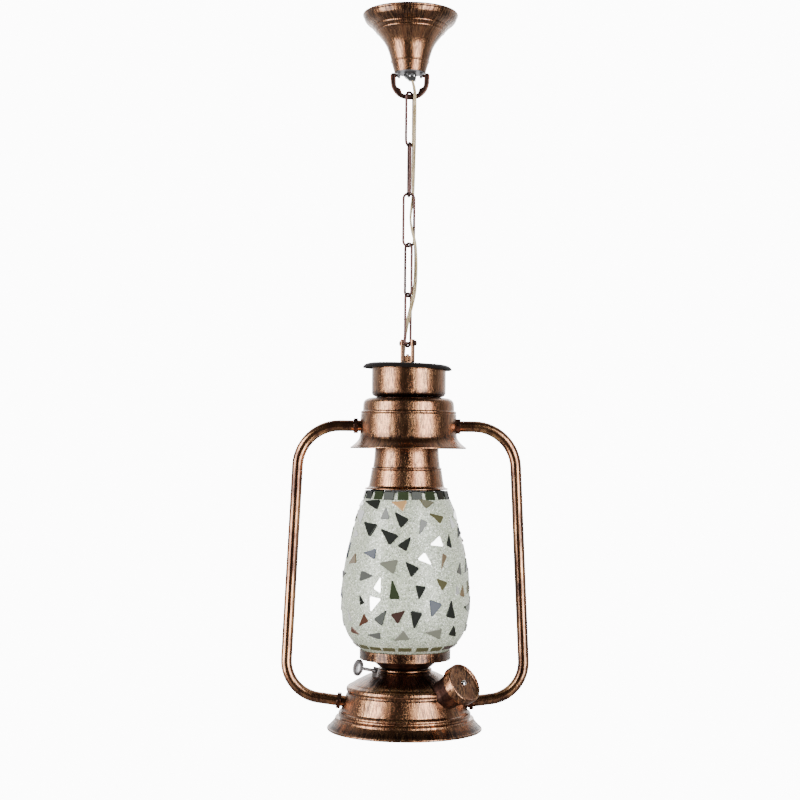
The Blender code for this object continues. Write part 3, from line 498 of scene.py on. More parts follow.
def spun(outline, sides):
    """A bmesh of an outline turned about Z. It is closed, or starts and ends on the axis."""
    bm = bmesh.new()
    points = [bm.verts.new((p[0], 0, p[1])) for p in outline]
    pairs = list(zip(points, points[1:]))
    if outline[0][0] > 1e-6 or outline[-1][0] > 1e-6:
        pairs.append((points[-1], points[0]))
    edges = [bm.edges.new(pair) for pair in pairs]
    bmesh.ops.spin(
        bm, geom=points + edges, cent=ORIGIN, axis=Z_AXIS, angle=math.tau, steps=sides, use_merge=True
    )
    return bm


def plate(outline, depth):
    """A flat outline of (x, z) points with depth along Y, half each way."""
    bm = bmesh.new()
    face = bm.faces.new([bm.verts.new((p[0], -depth / 2, p[1])) for p in outline])
    grown = bmesh.ops.extrude_face_region(bm, geom=[face])["geom"]
    bmesh.ops.translate(bm, vec=(0, depth, 0), verts=[v for v in grown if isinstance(v, bmesh.types.BMVert)])
    return bm


def skin(bm, rings, closed=False, capped=False):
    """Faces between rings of the same number of points, back to the first ring or with a face at each end."""
    pairs = list(zip(rings, rings[1:]))
    if closed:
        pairs.append((rings[-1], rings[0]))
    count = len(rings[0])
    for one, other in pairs:
        for i in range(count):
            j = (i + 1) % count
            bm.faces.new((one[i], one[j], other[j], other[i]))
    if capped:
        bm.faces.new(rings[0])
        bm.faces.new(rings[-1])


def ring_about_z(bm, reaches, height):
    """A ring of points about Z, with one radius for each."""
    turns = [math.tau * step / len(reaches) for step in range(len(reaches))]
    return [
        bm.verts.new((reach * math.cos(turn), reach * math.sin(turn), height))
        for reach, turn in zip(reaches, turns)
    ]


def nut(flats, bore, thickness):
    """A hexagonal nut about Z with its corners turned down at both ends."""
    count, sixth = 48, math.pi / 3
    half, chamfer = flats / 2, flats * 0.07
    hexagon = [half / math.cos(math.tau * step / count % sixth - sixth / 2) for step in range(count)]
    rounded_off = [min(reach, half * 1.03) for reach in hexagon]
    hole, mouth = [bore] * count, [bore + chamfer * 0.5] * count
    rings = (
        (rounded_off, 0), (hexagon, chamfer * 0.6), (hexagon, thickness - chamfer * 0.6),
        (rounded_off, thickness), (mouth, thickness), (hole, thickness - chamfer * 0.5),
        (hole, chamfer * 0.5), (mouth, 0),
    )
    bm = bmesh.new()
    skin(bm, [ring_about_z(bm, reaches, height) for reaches, height in rings], closed=True)
    return bm


def tube(route, normal, radius, sides, bore=0.0):
    """A round wire that is closed on itself or, with a bore, a pipe with two ends, along a flat route."""
    bm = bmesh.new()
    last = len(route) - 1

    def rings(size):
        made = []
        for i, point in enumerate(route):
            before = point if bore and i == 0 else route[i - 1]
            after = point if bore and i == last else route[(i + 1) % len(route)]
            side = (after - before).normalized().cross(normal)
            turns = [math.tau * step / sides for step in range(sides)]
            made.append([
                bm.verts.new(point + size * (math.cos(turn) * side + math.sin(turn) * normal))
                for turn in turns
            ])
        return made

    outer = rings(radius)
    skin(bm, [*outer, *reversed(rings(bore))] if bore else outer, closed=True)
    return bm


def united(*meshes):
    """Several bmeshes as one."""
    whole = meshes[0]
    for other in meshes[1:]:
        spare = bpy.data.meshes.new("spare")
        other.to_mesh(spare)
        other.free()
        whole.from_mesh(spare)
        bpy.data.meshes.remove(spare)
    return whole


def moved(bm, matrix):
    """A bmesh moved by a matrix whose lengths are millimetres."""
    bm.transform(matrix)
    return bm


# --------------- flex
FLEX_ROUTE = (
    (12.9, 0, -7), (8.6, 0, -6.9), (4.9, 0, -7.7), (2.2, 0, -10.2), (0.7, 0, -14.8), (0.2, 0, -20),
    (0, 0, -30), (0.2, 0, -40), (0.5, -0.1, -46.5), (1.3, -0.4, -51.5), (2.5, -1.3, -56.5),
    (3.5, -2.9, -61), (4, -4.2, -66), (4.1, -4.5, -72), (4, -3.9, -84.3), (3.8, -3.2, -96.3),
    (3.7, -2.4, -108.3), (3.5, -1.2, -120.3), (3.4, 0.6, -131.3), (3.3, 2.6, -140.3), (3.1, 3.7, -148.3),
    (2.2, 2.6, -156.3), (1.4, 0.2, -165.8), (2.6, -1.9, -175.3), (4.9, -2.9, -184.3), (5.7, -2.8, -192.3),
    (6, -2.2, -204.3), (5.7, -1.8, -216.3), (4.7, -1.9, -227.3), (2.6, -1.3, -237.3), (0.2, 0.1, -247.3),
    (-1.5, 3, -256.3), (-2.3, 6, -262.8), (-2.7, 8, -268), (-3.1, 9.2, -276), (-3.2, 9.5, -286),
    (-3.1, 9.4, -300), (-2.8, 9, -311), (-2.2, 7.2, -318), (-1.2, 3.8, -323.5), (-0.2, 0.8, -328.6),
    (0, 0, -336),
)
FLEX_CUTS = (-62.5, -96.8, -128.8, -168.3, -208.3, -249.3)
CORE_REACH = 0.78  # from the flex's middle to each core's
CORE_RADIUS = 0.92
STRAND_RADIUS = 0.62  # the bundle of wires in each core


def flex_line():
    """The flex's middle, with a point about every half millimetre."""
    points = led_in(FLEX_ROUTE)
    line = []
    for span in zip(points, points[1:], points[2:], points[3:]):
        steps = max(2, round((span[2] - span[1]).length * 2))
        line += [between(*span, step / steps) for step in range(steps)]
    return [*line, points[-2]]


def jacket_section():
    """The flex's outline across: two round cores side by side."""
    meet = math.acos(CORE_REACH / CORE_RADIUS)
    made = []
    for side in (1, -1):
        for step in range(9):
            turn = -math.pi + meet + (2 * math.pi - 2 * meet) * step / 8
            x = CORE_REACH + CORE_RADIUS * math.cos(turn)
            made.append((side * x, side * CORE_RADIUS * math.sin(turn)))
    return made


def strand_section():
    turns = [math.tau * step / 8 for step in range(8)]
    return [(STRAND_RADIUS * math.cos(turn), STRAND_RADIUS * math.sin(turn)) for turn in turns]


def flex_mesh(points, ways, section, shift=0.0):
    """A bmesh that carries a section along the flex, turning slowly with it."""
    bm = bmesh.new()
    rings = [
        [bm.verts.new(point + side * (x + shift) + up * y) for x, y in section]
        for point, (side, up) in zip(points, ways)
    ]
    skin(bm, rings, capped=True)
    return bm


def make_flex():
    line = flex_line()
    edges = [min(range(len(line)), key=lambda i: abs(line[i].z - cut)) for cut in FLEX_CUTS]
    edges = [0, *edges, len(line) - 1]
    for number, (first, last) in enumerate(zip(edges, edges[1:])):
        points = [p.copy() for p in line[first:last + 1:3]]
        if points[-1] != line[last]:
            points.append(line[last].copy())
        ways = []
        for i, point in enumerate(points):
            on = (points[min(i + 1, len(points) - 1)] - points[max(i - 1, 0)]).normalized()
            turn = math.radians(20 + 1.5 * -point.z)
            side = Vector((math.cos(turn), math.sin(turn), 0.35 * math.sin(turn)))
            side = (side - on * side.dot(on)).normalized()
            ways.append((side, on.cross(side)))
        jacket = piece(f"flex_jacket_{number + 1}", flex_mesh(points, ways, jacket_section()), JACKET,
                       node=f"flex_{number + 1}")
        strands = united(*[
            flex_mesh(points[1:-1], ways[1:-1], strand_section(), side * CORE_REACH) for side in (-1, 1)
        ])
        strands = piece(f"flex_strands_{number + 1}", strands, STRANDS)
        for made in (jacket, strands):
            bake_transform(made)


# --------------- ceiling end
def make_canopy():
    """A spun trumpet: rolled rim, flange, two rolled ridges, a long throat and a plain band at its foot."""
    rim = bead((37.2, -1.6), 1.35, 100, -70)
    flange = smooth([(37.7, -3.6), (36.6, -6.2), (34.6, -8.4), (31.9, -10.2), (30.6, -11)], 5)
    first = bead((29.8, -11.5), 0.95, 20, -85, 8)
    step = ((29.1, -13.1), (28, -14))
    second = bead((27.3, -14.6), 0.95, 20, -80, 8)
    throat = smooth([(26.6, -16.2), (24.2, -19.2), (22, -21.9), (20.1, -24.8), (18.5, -28), (17.2, -31.6),
                     (16.1, -35.2), (15.4, -38.3)], 4)
    third = bead((15.2, -39), 0.55, 60, -80, 6)
    band = smooth([(15, -39.9), (14.1, -42.9), (13, -46.6), (12.85, -47.5)], 3)
    outer = linked(rim, flange, first, step, second, throat, third, band, ((12.75, -47.8),), corner=0.2)
    piece("canopy_spun", spun(sheet(outer, 0.7), 128), COPPER_CANOPY, CEILING, "canopy")


def make_hanger():
    """The grey plate with its two lugs, and the black cord grip with its clamp screws."""
    disc = spun([(4.3, -47.4), (11.7, -47.4), (11.9, -47.6), (11.9, -48.1), (11.7, -48.3), (4.3, -48.3)], 72)
    lugs = []
    for side in (-1, 1):
        outline = [Vector((y, z)) for y, z in ((-1.9, -48.2), (-1.9, -50.6))]
        outline += bead((0, -50.3), 1.9, 188, 352, 12)
        outline += [Vector((1.9, -48.2))]
        turn = Matrix.Translation((side * 8.9, 0, 0)) @ Matrix.Rotation(math.radians(90), 4, "Z")
        lugs.append(moved(plate(outline, 2.0), turn))
    piece("hanger_plate_steel", united(disc, *lugs), PLATE_GREY, CEILING, "hanger_plate", bevel=0.25)
    collar = spun([(4.3, -48.7), (4.8, -48.7), (5, -48.9), (5, -51), (4.3, -51)], 48)
    bm = bmesh.new()
    upper = ((-4.3, -4.4), (5.1, -4.4), (5.1, 4.3), (-4.3, 4.3))
    lower = ((-0.8, -3.5), (4.6, -3.5), (4.6, 1.5), (-0.8, 1.5))
    loops = []
    for share, drop in ((0, -50.1), (0, -51.2), (0.55, -52.6), (0.9, -53.9), (1, -54.5)):
        corners = [(a[0] + (b[0] - a[0]) * share, a[1] + (b[1] - a[1]) * share) for a, b in zip(upper, lower)]
        loops.append([bm.verts.new((x, y, drop)) for x, y in corners])
    skin(bm, loops, capped=True)
    piece("cord_grip_moulded", united(collar, bm), BLACK, CEILING, "cord_grip", bevel=0.45)
    screws = []
    for x in (-0.9, 2.7):
        head = [(0, -0.9), (0.5, -0.95), (0.95, -0.75), (1.1, -0.35), (1.1, 0), (0.6, 0), (0.6, 1.4),
                (0, 1.4)]
        place = Matrix.Translation((x, -4.5, -51.0)) @ Y_AXIS.to_track_quat("Z", "X").to_matrix().to_4x4()
        screws.append(moved(spun(head, 24), place))
    piece("cord_grip_screws", united(*screws), CHROME, CEILING)


RING_PIN_HEIGHT = -50.2


def make_hook_ring():
    """A cast D, stepped in at its lower corners, with a pin at the end of each arm."""
    end, turn_over = Vector((13.7, 0, -50.15)), Vector((-2.2, 0, 0))
    cap = [(p.x, p.z) for p in arc(end, end + turn_over, math.pi, Y_AXIS, 14)]
    outer = smooth([(15.9, -50.1), (15.7, -55), (14.9, -59.4), (12.8, -63.4), (9.3, -66.9), (5, -68.8),
                    (0, -69.4)])
    inner = smooth([(0, -65.2), (4.7, -65), (6.3, -64.2), (7, -62.6), (7.8, -60.6), (10, -59.5),
                    (11, -58.2), (11.3, -55), (11.5, -50.1)])
    right = [tuple(p) for p in inner[1:-1]] + cap + [tuple(p) for p in outer[1:-1]]
    outline = [(0, -65.2), *right, (0, -69.4), *[(-x, z) for x, z in reversed(right)]]
    ring = piece("hook_ring_cast", plate(outline, 3.2), COPPER_DARK, "hook_ring", "hook_ring", bevel=1.05)
    ring.modifiers["edges"].angle_limit = math.radians(60)
    pin = [(0, 7.7), (0.9, 7.7), (1.2, 8), (1.2, 12.6), (0, 12.6)]
    pins = []
    for side in (-1, 1):
        turn = (side * X_AXIS).to_track_quat("Z", "Y").to_matrix().to_4x4()
        pins.append(moved(spun(pin, 24), Matrix.Translation((0, 0, RING_PIN_HEIGHT)) @ turn))
    piece("hook_ring_pins", united(*pins), COPPER_DARK, "hook_ring")


# --------------- chain and clevis
LINK_PITCH, FIRST_LINK_BOTTOM, LINK_REACH = 40.55, -107.2, 4.4
LINK_TURNS = (50, 100, 10, -54, 59)
LINK_PLAY = (0.8, 0.25, 0, 0, 0)
WIRE_RADIUS, WIRE_OVERLAP = 1.06, 2.3  # a link's wire, and how far it reaches into the link above
BOLT_HEIGHT = FIRST_LINK_BOTTOM - 4 * LINK_PITCH + 2.55


def make_chain():
    for number, degrees in enumerate(LINK_TURNS):
        bottom = FIRST_LINK_BOTTOM - LINK_PITCH * number
        top = bottom + LINK_PITCH + WIRE_OVERLAP + LINK_PLAY[number]
        turn = math.radians(degrees)
        across = Vector((math.cos(turn), math.sin(turn), 0)) * LINK_REACH
        normal = across.normalized().cross(Z_AXIS)
        high, low = Vector((0, 0, top - LINK_REACH)), Vector((0, 0, bottom + LINK_REACH))
        over = arc(high, high + across, math.pi, normal, 18)
        under = arc(low, low - across, math.pi, normal, 18)
        down = [over[-1].lerp(under[0], i / 8) for i in range(1, 8)]
        rise = [under[-1].lerp(over[0], i / 8) for i in range(1, 8)]
        wire = tube([*over, *down, *under, *rise], normal, WIRE_RADIUS, 18)
        seam = across * (1 if number % 2 else -1) + Vector((0, 0, (high.z + low.z) / 2))
        weld = moved(spun(bead((0.93, 0), 0.26, -90, 90, 8), 24), Matrix.Translation(seam))
        piece(f"link_{number + 1}_wire", united(wire, weld), CHAIN_METAL, f"chain_link_{number + 1}",
              f"chain_link_{number + 1}")


def make_clevis():
    """A strap bent into a U with rounded corners, on its cross bolt and the stud that holds the lantern."""
    turn = math.radians(LINK_TURNS[-1] - 90)
    axis = Vector((math.cos(turn), math.sin(turn), 0))
    half, strap, thick = 5.6, 4.6, 1.6
    floor, top = -283.2, BOLT_HEIGHT + 3.2
    inner = half - thick
    line = [Vector((-half, top))]
    line += bead((-half + 2.2, floor + 2.2), 2.2, 180, 270, 8)
    line += bead((half - 2.2, floor + 2.2), 2.2, 270, 360, 8)
    line += [Vector((half, top)), Vector((inner, top))]
    line += list(reversed(bead((inner - 0.6, floor + 2.2), 0.6, 270, 360, 5)))
    line += list(reversed(bead((-inner + 0.6, floor + 2.2), 0.6, 180, 270, 5)))
    line += [Vector((-inner, top))]
    across = Matrix.Rotation(turn, 4, "Z")
    piece("clevis_strap", plate(line, strap), COPPER, LANTERN, "clevis", across, bevel=0.5)
    reach = half + 0.3
    tip = -2 * half - 2.6
    shank = spun([(0, tip), (1.0, tip), (1.25, tip + 0.3), (1.25, 0.2), (0, 0.2)], 32)
    at = Vector((0, 0, BOLT_HEIGHT))
    piece("clevis_bolt_hex", united(nut(4, 0.3, 1.1), shank), COPPER_DARK, LANTERN, "clevis_bolt",
          aimed(-axis, at - axis * reach))
    piece("clevis_nut_hex", nut(4.2, 1.3, 1.6), COPPER_DARK, LANTERN, "clevis_nut",
          aimed(axis, at + axis * reach))
    stud = [(0, -275.6), (0.9, -275.6), (1.25, -276), (1.25, -285), (0, -285)]
    stud_nut = moved(nut(5, 1.3, 4.6), Matrix.Translation((0, 0, floor + thick + 0.05)))
    piece("hanger_stud", united(spun(stud, 32), stud_nut), COPPER, LANTERN)


# --------------- lantern top
HOOD_PLACE = Matrix.Translation((0.0012, 0, 0))  # hood and bowl sit a little to the right of the rest
LID_CENTRE = Matrix.Translation((0, 0, -0.283))
LID_PLACE = LID_CENTRE @ Matrix.Rotation(math.radians(1.5), 4, "Y") @ LID_CENTRE.inverted()


def make_lid():
    """A shallow dished lid, a little askew, with a rolled edge and a grommet for the flex."""
    dish = smooth([(1.5, -283.55), (14, -283.55), (24, -283.6), (29, -283.65), (31.8, -284), (34, -284.9),
                   (35.5, -286.1), (36.3, -287.5)], 5)
    # The lid's finish is painted shade, near black.
    piece("lid_spun", spun(sheet(dish, 0.8), 128), LID_PAINTED_SHADE, LANTERN, "chimney_lid", LID_PLACE)
    ring = [(2, -282.3), *bead((3.2, -282.8), 0.5, 80, -40, 8), (3.5, -283.3), (2.8, -283.4), (2.8, -284.5),
            (3.6, -284.7), (3.4, -285.1), (2, -285.2)]
    piece("grommet_moulded", spun(ring, 40), RUBBER, LANTERN, "flex_grommet",
          Matrix.Translation((-0.0032, 0.0095, 0)))


def make_bowl():
    outer = [(30, -284.9), (30, -290), (30, -296), (30, -303.5),
             *bead((26.2, -306.6), 3.8, 10, -80, 14), (26, -310.7), (1.5, -310.8)]
    piece("bowl_spun", spun(sheet(outer, 0.9), 128), COPPER, LANTERN, "chimney_bowl", HOOD_PLACE)


def make_hood():
    """Crown, drum and flared skirt. A fine ridge is rolled in at each change of its outline."""
    crown = smooth([(1.5, -311.1), (14, -311.1), (26, -311.15), (31, -311.3), (34, -312.2),
                    (35.9, -313.8), (36.7, -316), (36.95, -319), (37, -321.6)], 5)
    ridge = bead((37.5, -323), 1.25, 70, -50, 8)
    drum = [(38.75, -324.6), (38.9, -330), (39.05, -336), (39.2, -341.6)]
    skirt = smooth([(39.5, -343.2), (40.5, -345.2), (42.6, -347.7), (45.2, -349.9), (46.5, -350.9)], 5)
    lip = bead((46.35, -351.55), 0.7, 60, -90, 8)
    outer = linked(crown, ridge, drum, skirt, corner=0.25)
    piece("hood_spun", spun(sheet([*outer, *lip], 0.8), 144), COPPER, LANTERN, "hood", HOOD_PLACE)


def make_neck():
    """The sleeve under the hood: a tapered waist, a thin ridge and the flange that holds the glass."""
    upper = [(37.6, -326.1), (25.8, -326.1), (25.8, -340), (25.8, -352.5)]
    waist = smooth([(25.9, -354), (26.3, -360), (27.2, -367.4)], 4)
    ridge = bead((27.7, -368.4), 0.8, 70, -70, 8)
    lower = smooth([(28.5, -369.9), (28.9, -373), (29.7, -378), (30.6, -382.6)], 4)
    flange = [(31.4, -383.5), (33, -384), *bead((33, -384.6), 0.6, 70, -70, 6)]
    outer = linked(upper, waist, ridge, lower, corner=0.3)
    piece("neck_spun", spun(sheet([*outer, *flange], 0.8), 128), COPPER, LANTERN, "neck")


# --------------- glass
GLASS_THICKNESS = 2.2
GLASS_OUTLINE = smooth([
    (32.8, -387.6), (34.6, -392.4), (38, -400), (40.8, -409.5), (43.4, -419), (45.6, -427), (47.5, -435),
    (49.2, -444), (50.6, -453), (51.6, -462), (52, -470), (52, -477.5), (51.5, -485), (50.6, -490.5),
    (49.3, -495.5), (47, -501.6), (44.6, -505.6), (41.4, -509.6), (38.4, -512.4), (35.4, -514.6),
    (35.2, -517.2),
], 4)
STREWN_TONES = (28, 20, 10, 8, 6, 7, 3, 8, 4, 3, 3)  # how often each tone of MIRROR_TONES comes up
CHIP_SPACING = 12.4
GLEAM_LEFT, GLEAM_RIGHT = (-37, -25), (15, 27)  # turns where a chip that lies flat mirrors a softbox


def glass_at(height):
    """The glass's outer radius at a height, and how much the radius grows per millimetre upwards."""
    for a, b in zip(GLASS_OUTLINE, GLASS_OUTLINE[1:]):
        if b.y <= height <= a.y:
            share = (a.y - height) / (a.y - b.y)
            return a.x + (b.x - a.x) * share, (a.x - b.x) / (a.y - b.y)
    return (33.0 if height > -400 else 35.2), 0.0


def make_glass():
    piece("glass_blown", spun(sheet(GLASS_OUTLINE, GLASS_THICKNESS), 144), GLITTER, LANTERN, "glass_shade")


def mirror_lean(turn):
    """How far a white chip near the front leans, so that it mirrors one of the softboxes."""
    if abs(turn) > 45:
        return 0.0
    low, high = GLEAM_LEFT if turn < 0 else GLEAM_RIGHT
    return math.radians(turn - min(max(turn, low), high))


def chip(turn, height, tip, length, width, seed, lean=0.0):
    """A flat triangle of mirror glass laid on the glass. Its edges are a little uneven and ground down."""
    radius, grow = glass_at(height)
    angle = math.radians(turn - 90)
    outward = Vector((math.cos(angle), math.sin(angle), 0))
    around = Vector((-math.sin(angle), math.cos(angle), 0))
    up = (outward * grow + Z_AXIS).normalized()
    normal = around.cross(up)
    middle = outward * radius + Z_AXIS * height
    way = math.radians(tip)
    along = around * math.cos(way) + up * math.sin(way)
    length, width = length * 1.18, width * 1.12
    aside = normal.cross(along)
    rng = random.Random(seed)
    tilt = rng.uniform(-0.09, 0.09) if not lean else lean * math.cos(way)
    dip = rng.uniform(-0.09, 0.09) if not lean else -lean * math.sin(way)
    corners = [(length * 0.62, rng.uniform(-0.15, 0.15) * width), (-length * 0.38, width / 2),
               (-length * (0.38 + rng.uniform(-0.12, 0.12)), -width / 2)]
    sagitta = (max(length, width) * 0.5) ** 2 / (2 * radius)
    lift = min(0.9, 0.35 * sagitta) + 0.15
    bm = bmesh.new()
    loops = []
    for size, rise in ((1.0, -sagitta * 0.7 - 0.5), (1.0, lift - 0.12), (0.93, lift + 0.05)):
        loop = []
        for i, (x, y) in enumerate(corners):
            px, py = corners[i - 1]
            for share in (0.1, 0.5, 0.9):
                qx, qy = px + (x - px) * share, py + (y - py) * share
                wave = 0.25 * math.sin(seed * 1.7 + i * 2.1) if share == 0.5 else 0.0
                qx, qy = (qx + wave * 0.6) * size, (qy + wave) * size
                off = rise + qx * tilt + qy * dip
                loop.append(bm.verts.new(middle + along * qx + aside * qy + normal * off))
        loops.append(loop)
    skin(bm, loops, capped=True)
    return bm


# turn from the front, height, which way the tip points, length, width and tone
FRONT_CHIPS = (
    (-46, -396, 173, 15, 8, "dark"), (-8, -396, 159, 11, 9, "amber"), (26, -395, 15, 10, 9, "olive"),
    (-25, -404, 95, 9, 7, "grey"), (-6, -408, 132, 12, 9, "dark"), (37, -406, 151, 11, 7, "olive"),
    (-77, -397, 354, 12, 6, "white"), (-66, -406, 160, 15, 11, "white"), (-44, -415, 157, 13, 11, "dark"),
    (-19, -421, 148, 13, 10, "dark"), (-1, -427, 52, 11, 8, "dark"), (17, -413, 242, 11, 6, "grey"),
    (32, -426, 195, 10, 9, "white"), (49, -425, 73, 10, 6, "dark"), (61, -411, 108, 9, 7, "white"),
    (-66, -421, 346, 8, 6, "white"), (-36, -435, 179, 11, 8, "blue"), (-15, -443, 163, 13, 11, "pale"),
    (5, -446, 133, 11, 9, "dark"), (18, -439, 317, 10, 8, "white"), (37, -440, 244, 11, 5, "tan"),
    (-60, -441, 205, 11, 8, "tan"), (-39, -452, 7, 11, 8, "grey"), (-24, -459, 72, 10, 7, "white"),
    (-11, -463, 102, 13, 8, "green"), (12, -463, 257, 10, 8, "dark"), (33, -458, 142, 9, 8, "olive"),
    (59, -448, 63, 9, 7, "grey"), (-28, -473, 255, 12, 10, "white"), (-42, -472, 109, 7, 5, "dark"),
    (-22, -484, 59, 11, 8, "dark"), (-6, -482, 41, 10, 9, "umber"), (9, -485, 265, 12, 9, "dark"),
    (25, -476, 248, 11, 11, "blue"), (44, -479, 86, 12, 10, "dark"), (-41, -488, 219, 10, 7, "rust"),
    (-56, -498, 334, 9, 6, "rust"), (-30, -499, 177, 10, 6, "grey"), (-3, -499, 203, 11, 9, "pale"),
    (28, -497, 177, 13, 9, "pale"), (51, -497, 332, 10, 8, "dark"), (60, -465, 81, 8, 7, "tan"),
    (52, -464, 92, 8, 5, "white"), (-60, -485, 111, 10, 4, "white"),
)


def make_chips():
    """The front's chips have set places. The rest of the glass is strewn with others, well apart."""
    laid = list(FRONT_CHIPS)
    rng = random.Random(11)
    spots = [(turn, height) for turn, height, *_ in laid]
    for _ in range(4000):
        turn, height = rng.uniform(72, 284), rng.uniform(-501, -395)
        radius = glass_at(height)[0]
        near = min(
            math.hypot(((turn - other + 180) % 360 - 180) * math.radians(1) * radius, height - at)
            for other, at in spots
        )
        if near > CHIP_SPACING:
            spots.append((turn, height))
            tone = rng.choices(tuple(MIRROR_TONES), STREWN_TONES)[0]
            laid.append((turn, height, rng.uniform(0, 360), rng.uniform(8.5, 13), rng.uniform(6, 10), tone))
    by_tone = {tone: [] for tone in MIRROR_TONES}
    for number, (turn, height, tip, length, width, tone) in enumerate(laid):
        lean = mirror_lean(turn) + 0.001 if tone == "white" else 0.0
        by_tone[tone].append(chip(turn, height, tip, length, width, number, lean))
    for tone, chips in by_tone.items():
        piece(f"mirror_chips_{tone}", united(*chips), MIRRORS[tone], LANTERN, sharp=8)


def strip_band(rng, high, low, width, gap, tones):
    """A row of mirror strips round the glass, bent to it in height and flat across."""
    radius = glass_at((high + low) / 2)[0]
    count = round(math.tau * radius / (width + gap))
    made = {tone: [] for tone in tones}
    for number in range(count):
        turn = math.tau * (number + rng.uniform(-0.08, 0.08)) / count
        half = width / 2 * rng.uniform(0.92, 1.04)
        outward = Vector((math.cos(turn), math.sin(turn), 0))
        around = Vector((-math.sin(turn), math.cos(turn), 0))
        top, bottom = high + rng.uniform(-0.3, 0.3), low + rng.uniform(-0.3, 0.3)
        bm = bmesh.new()
        loops = []
        for inset, rise in ((0, -0.9), (0, 0.25), (0.3, 0.45)):
            loop = []
            for x, z in ((-half, bottom), (half, bottom), (half, top), (-half, top)):
                x -= math.copysign(inset, x)
                z += inset if z == bottom else -inset
                loop.append(bm.verts.new(outward * (glass_at(z)[0] + rise) + around * x + Z_AXIS * z))
            loops.append(loop)
        skin(bm, loops, capped=True)
        made[rng.choice(tones)].append(bm)
    return made


def make_strips():
    rng = random.Random(5)
    bands = {
        "upper": strip_band(rng, -386.1, -392.7, 8.7, 2.6, ("dark", "dark", "dark", "green")),
        "lower": strip_band(rng, -508.8, -512.0, 10.5, 2.0, ("dark", "dark", "olive", "umber")),
    }
    for band, tones in bands.items():
        for tone, strips in tones.items():
            if strips:
                piece(f"mirror_strips_{band}_{tone}", united(*strips), MIRRORS[tone], LANTERN, sharp=8)


# --------------- collar, tank
def make_burner():
    outer = [*bead((36.2, -515.2), 0.75, 150, 0, 8), Vector((36.8, -516.2)), Vector((36.8, -521)),
             *bead((36.2, -521.6), 0.6, 0, -90, 6)]
    inner = [Vector((35.9, -522.1)), Vector((35.9, -519.8)), Vector((2.3, -519.8)), Vector((2.3, -518.9)),
             Vector((35.6, -518.9)), Vector((35.6, -515.4))]
    piece("collar_spun", spun([*outer, *inner], 128), COPPER_COLLAR, LANTERN, "glass_collar")
    cone = smooth([(27.6, -520.1), (27.3, -522), (24.2, -525.4), (21.2, -528), (19.4, -529.1)], 4)
    outline = sheet([*cone, Vector((18.6, -529.4)), Vector((2.3, -529.4))], 0.8)
    piece("cone_spun", spun(outline, 96), COPPER_DARK, LANTERN, "burner_cone")
    edge = bead((20.9, -530.65), 0.95, 80, -85, 10)
    ring = [(2.3, -529.7), (20.8, -529.7), *edge, (20.8, -531.6), (2.3, -531.6)]
    piece("neck_ring_turned", spun(ring, 96), COPPER, LANTERN, "tank_neck_ring")


def tank_line():
    dome = smooth([(2.3, -531.9), (10, -531.9), (20.3, -532), (24.8, -533.1), (29.4, -535.2),
                   (34, -537.5), (38.4, -539.8), (41.6, -541.6), (43.2, -542.7)], 5)
    shoulder = bead((44.3, -546.6), 3.0, 70, -45, 10)
    wall = smooth([(46.6, -549.9), (47.4, -551.2), (48.5, -554.6), (49.9, -558.9), (51.3, -563.2)], 4)
    foot = bead((52, -565.9), 1.5, 80, -60, 10)
    step = ((53, -567.9), (53.4, -568.6))
    second = bead((54.9, -570.2), 1.3, 90, -20, 8)
    flare = smooth([(56.5, -571.3), (58.4, -573.6), (60.4, -575.7), (61.6, -577)], 4)
    rim = bead((61.7, -578.3), 1.05, 75, -75, 8)
    return linked(dome, shoulder, wall, foot, step, second, flare, rim, corner=0.2)


def make_tank():
    piece("tank_spun", spun(sheet(tank_line(), 0.9), 160), COPPER_TANK, LANTERN, "tank")


# --------------- side tubes
TUBE_TOP = -334
TUBE_CORNER = (97.3, -550.7)  # where the long run and the lower run would meet
TUBE_SLOPE = math.radians(7.6)  # of the lower run


def lower_tube_point(side, reach):
    corner_reach, corner_height = TUBE_CORNER
    return Vector((side * reach, 0, corner_height - (corner_reach - reach) * math.tan(TUBE_SLOPE)))


def make_side_tubes():
    """Each tube is bent twice. It passes a nut outside the hood's wall and one outside the tank's."""
    for side, name in ((-1, "left"), (1, "right")):
        low_out = Vector((side * math.cos(TUBE_SLOPE), 0, math.sin(TUBE_SLOPE)))
        upper = [Vector((side * reach, 0, TUBE_TOP)) for reach in (33.6, 86.8)]
        corner = Vector((side * TUBE_CORNER[0], 0, TUBE_CORNER[1]))
        route = rounded([*upper, corner, lower_tube_point(side, 41.5)], (34, 30))
        pipe = tube(route, Y_AXIS, 4.5, 40, bore=3.7)
        piece(f"tube_bent_{name}", pipe, COPPER_TUBE, LANTERN, f"side_tube_{name}")
        for label, out, at in (("upper_tube_nut", side * X_AXIS, Vector((side * 39.7, 0, TUBE_TOP))),
                               ("lower_tube_nut", low_out, lower_tube_point(side, 51.6))):
            piece(f"{label}_hex_{name}", nut(12, 4.62, 3.4), COPPER_DARK, LANTERN, f"{label}_{name}",
                  aimed(out, at))


# --------------- wick knob
KNOB_TURN, KNOB_RISE, KNOB_REACH = math.radians(213), math.radians(13), 44.6
KNOB_AXIS = Vector((math.cos(KNOB_RISE) * math.cos(KNOB_TURN), math.cos(KNOB_RISE) * math.sin(KNOB_TURN),
                    math.sin(KNOB_RISE)))
KNURL_RADIUS = 6.7
KNOB_AT = Vector((KNOB_REACH * math.cos(KNOB_TURN), KNOB_REACH * math.sin(KNOB_TURN), -526.6))


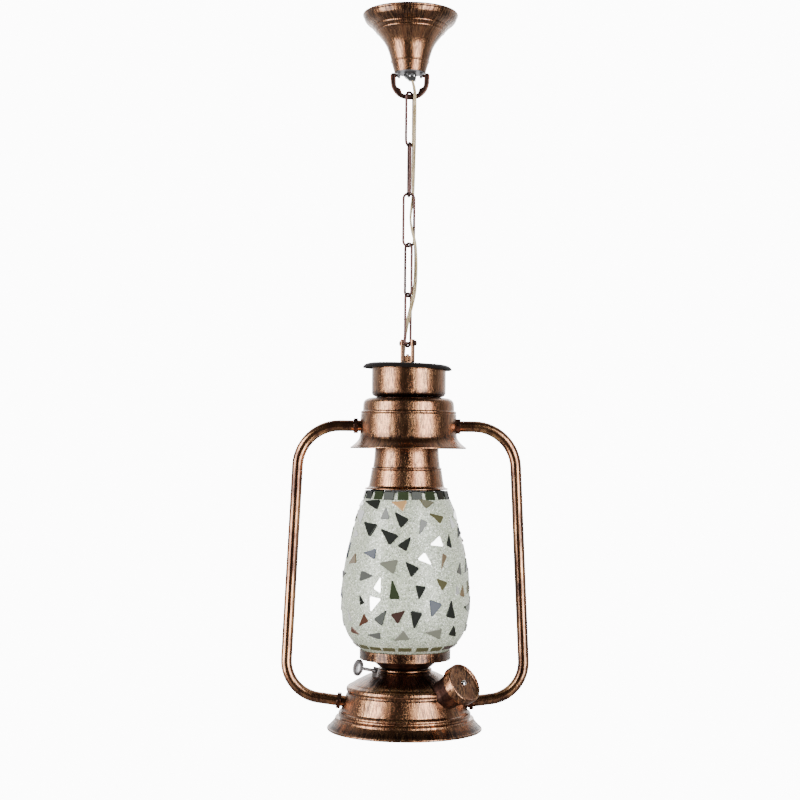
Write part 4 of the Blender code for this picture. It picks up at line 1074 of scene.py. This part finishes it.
def make_knob():
    """A polished button with a knurled rim, on its shaft."""
    place = aimed(KNOB_AXIS, KNOB_AT)
    face = smooth([(0, 2.6), (1.8, 2.45), (3.4, 2.05), (4.6, 1.55), (5.3, 1.05)], 5)
    piece("knob_face", spun([*face, (5.3, -1), (0, -1)], 72), KNOB_METAL, "wick_knob", "wick_knob", place)
    teeth = [0.38 if step % 4 < 2 else 0.0 for step in range(96)]
    bm = bmesh.new()
    rings = [
        ring_about_z(bm, [KNURL_RADIUS - depth - tooth for tooth in teeth], height)
        for height, depth in ((0.95, 0.55), (0.55, 0.1), (-0.9, 0), (-1.35, 0.5))
    ]
    rings += [ring_about_z(bm, [5.1] * len(teeth), height) for height in (-1.4, 1)]
    skin(bm, rings, closed=True)
    piece("knob_knurl", bm, KNURL, "wick_knob", place=place)
    hub = [(1.65, -3.9), (2.3, -4), (2.7, -3.6), (3, -2), (5.2, -1.5), (5.2, -1), (1.65, -1)]
    piece("knob_hub", spun(hub, 48), CHROME, "wick_knob", place=place)


# --------------- filler
CAP_CENTRE = Vector((47, -43, -535))
CAP_AXIS = Vector((0.64, -0.573, 0.511)).normalized()


def make_filler():
    """The cap: a flat face, a thin raised rim, a short skirt and a silver screw."""
    place = aimed(CAP_AXIS, CAP_CENTRE)
    face = [(1.55, -1.5), (6, -1.5), (11.4, -1.6), (13.6, -1.55), (14.3, -1.1)]
    rim = bead((15.2, -0.9), 0.9, 155, -10, 12)
    skirt = [(16.15, -1.6), (16.15, -6.6), *bead((15.65, -7.1), 0.5, 0, -90, 5), (15.1, -7.6), (15, -2.8),
             (1.55, -2.8)]
    piece("cap_pressed", spun([*face, *rim, *skirt], 120), COPPER_CAP, LANTERN, "filler_cap", place)
    head = smooth([(0, 0.5), (0.9, 0.4), (1.8, 0), (2.4, -0.7), (2.5, -1.3)], 4)
    dome = spun([*head, (1.25, -1.35), (1.25, -6), (0, -6)], 48)
    piece("cap_screw_domed", dome, CHROME, LANTERN, "filler_cap_screw", place)


def main():
    make_camera()
    make_stage()
    dress_cad_nodes()
    make_flex()
    make_canopy()
    make_hanger()
    make_hook_ring()
    make_chain()
    make_clevis()
    make_lid()
    make_bowl()
    make_hood()
    make_neck()
    make_glass()
    make_chips()
    make_strips()
    make_burner()
    make_tank()
    make_side_tubes()
    make_knob()
    make_filler()


main()
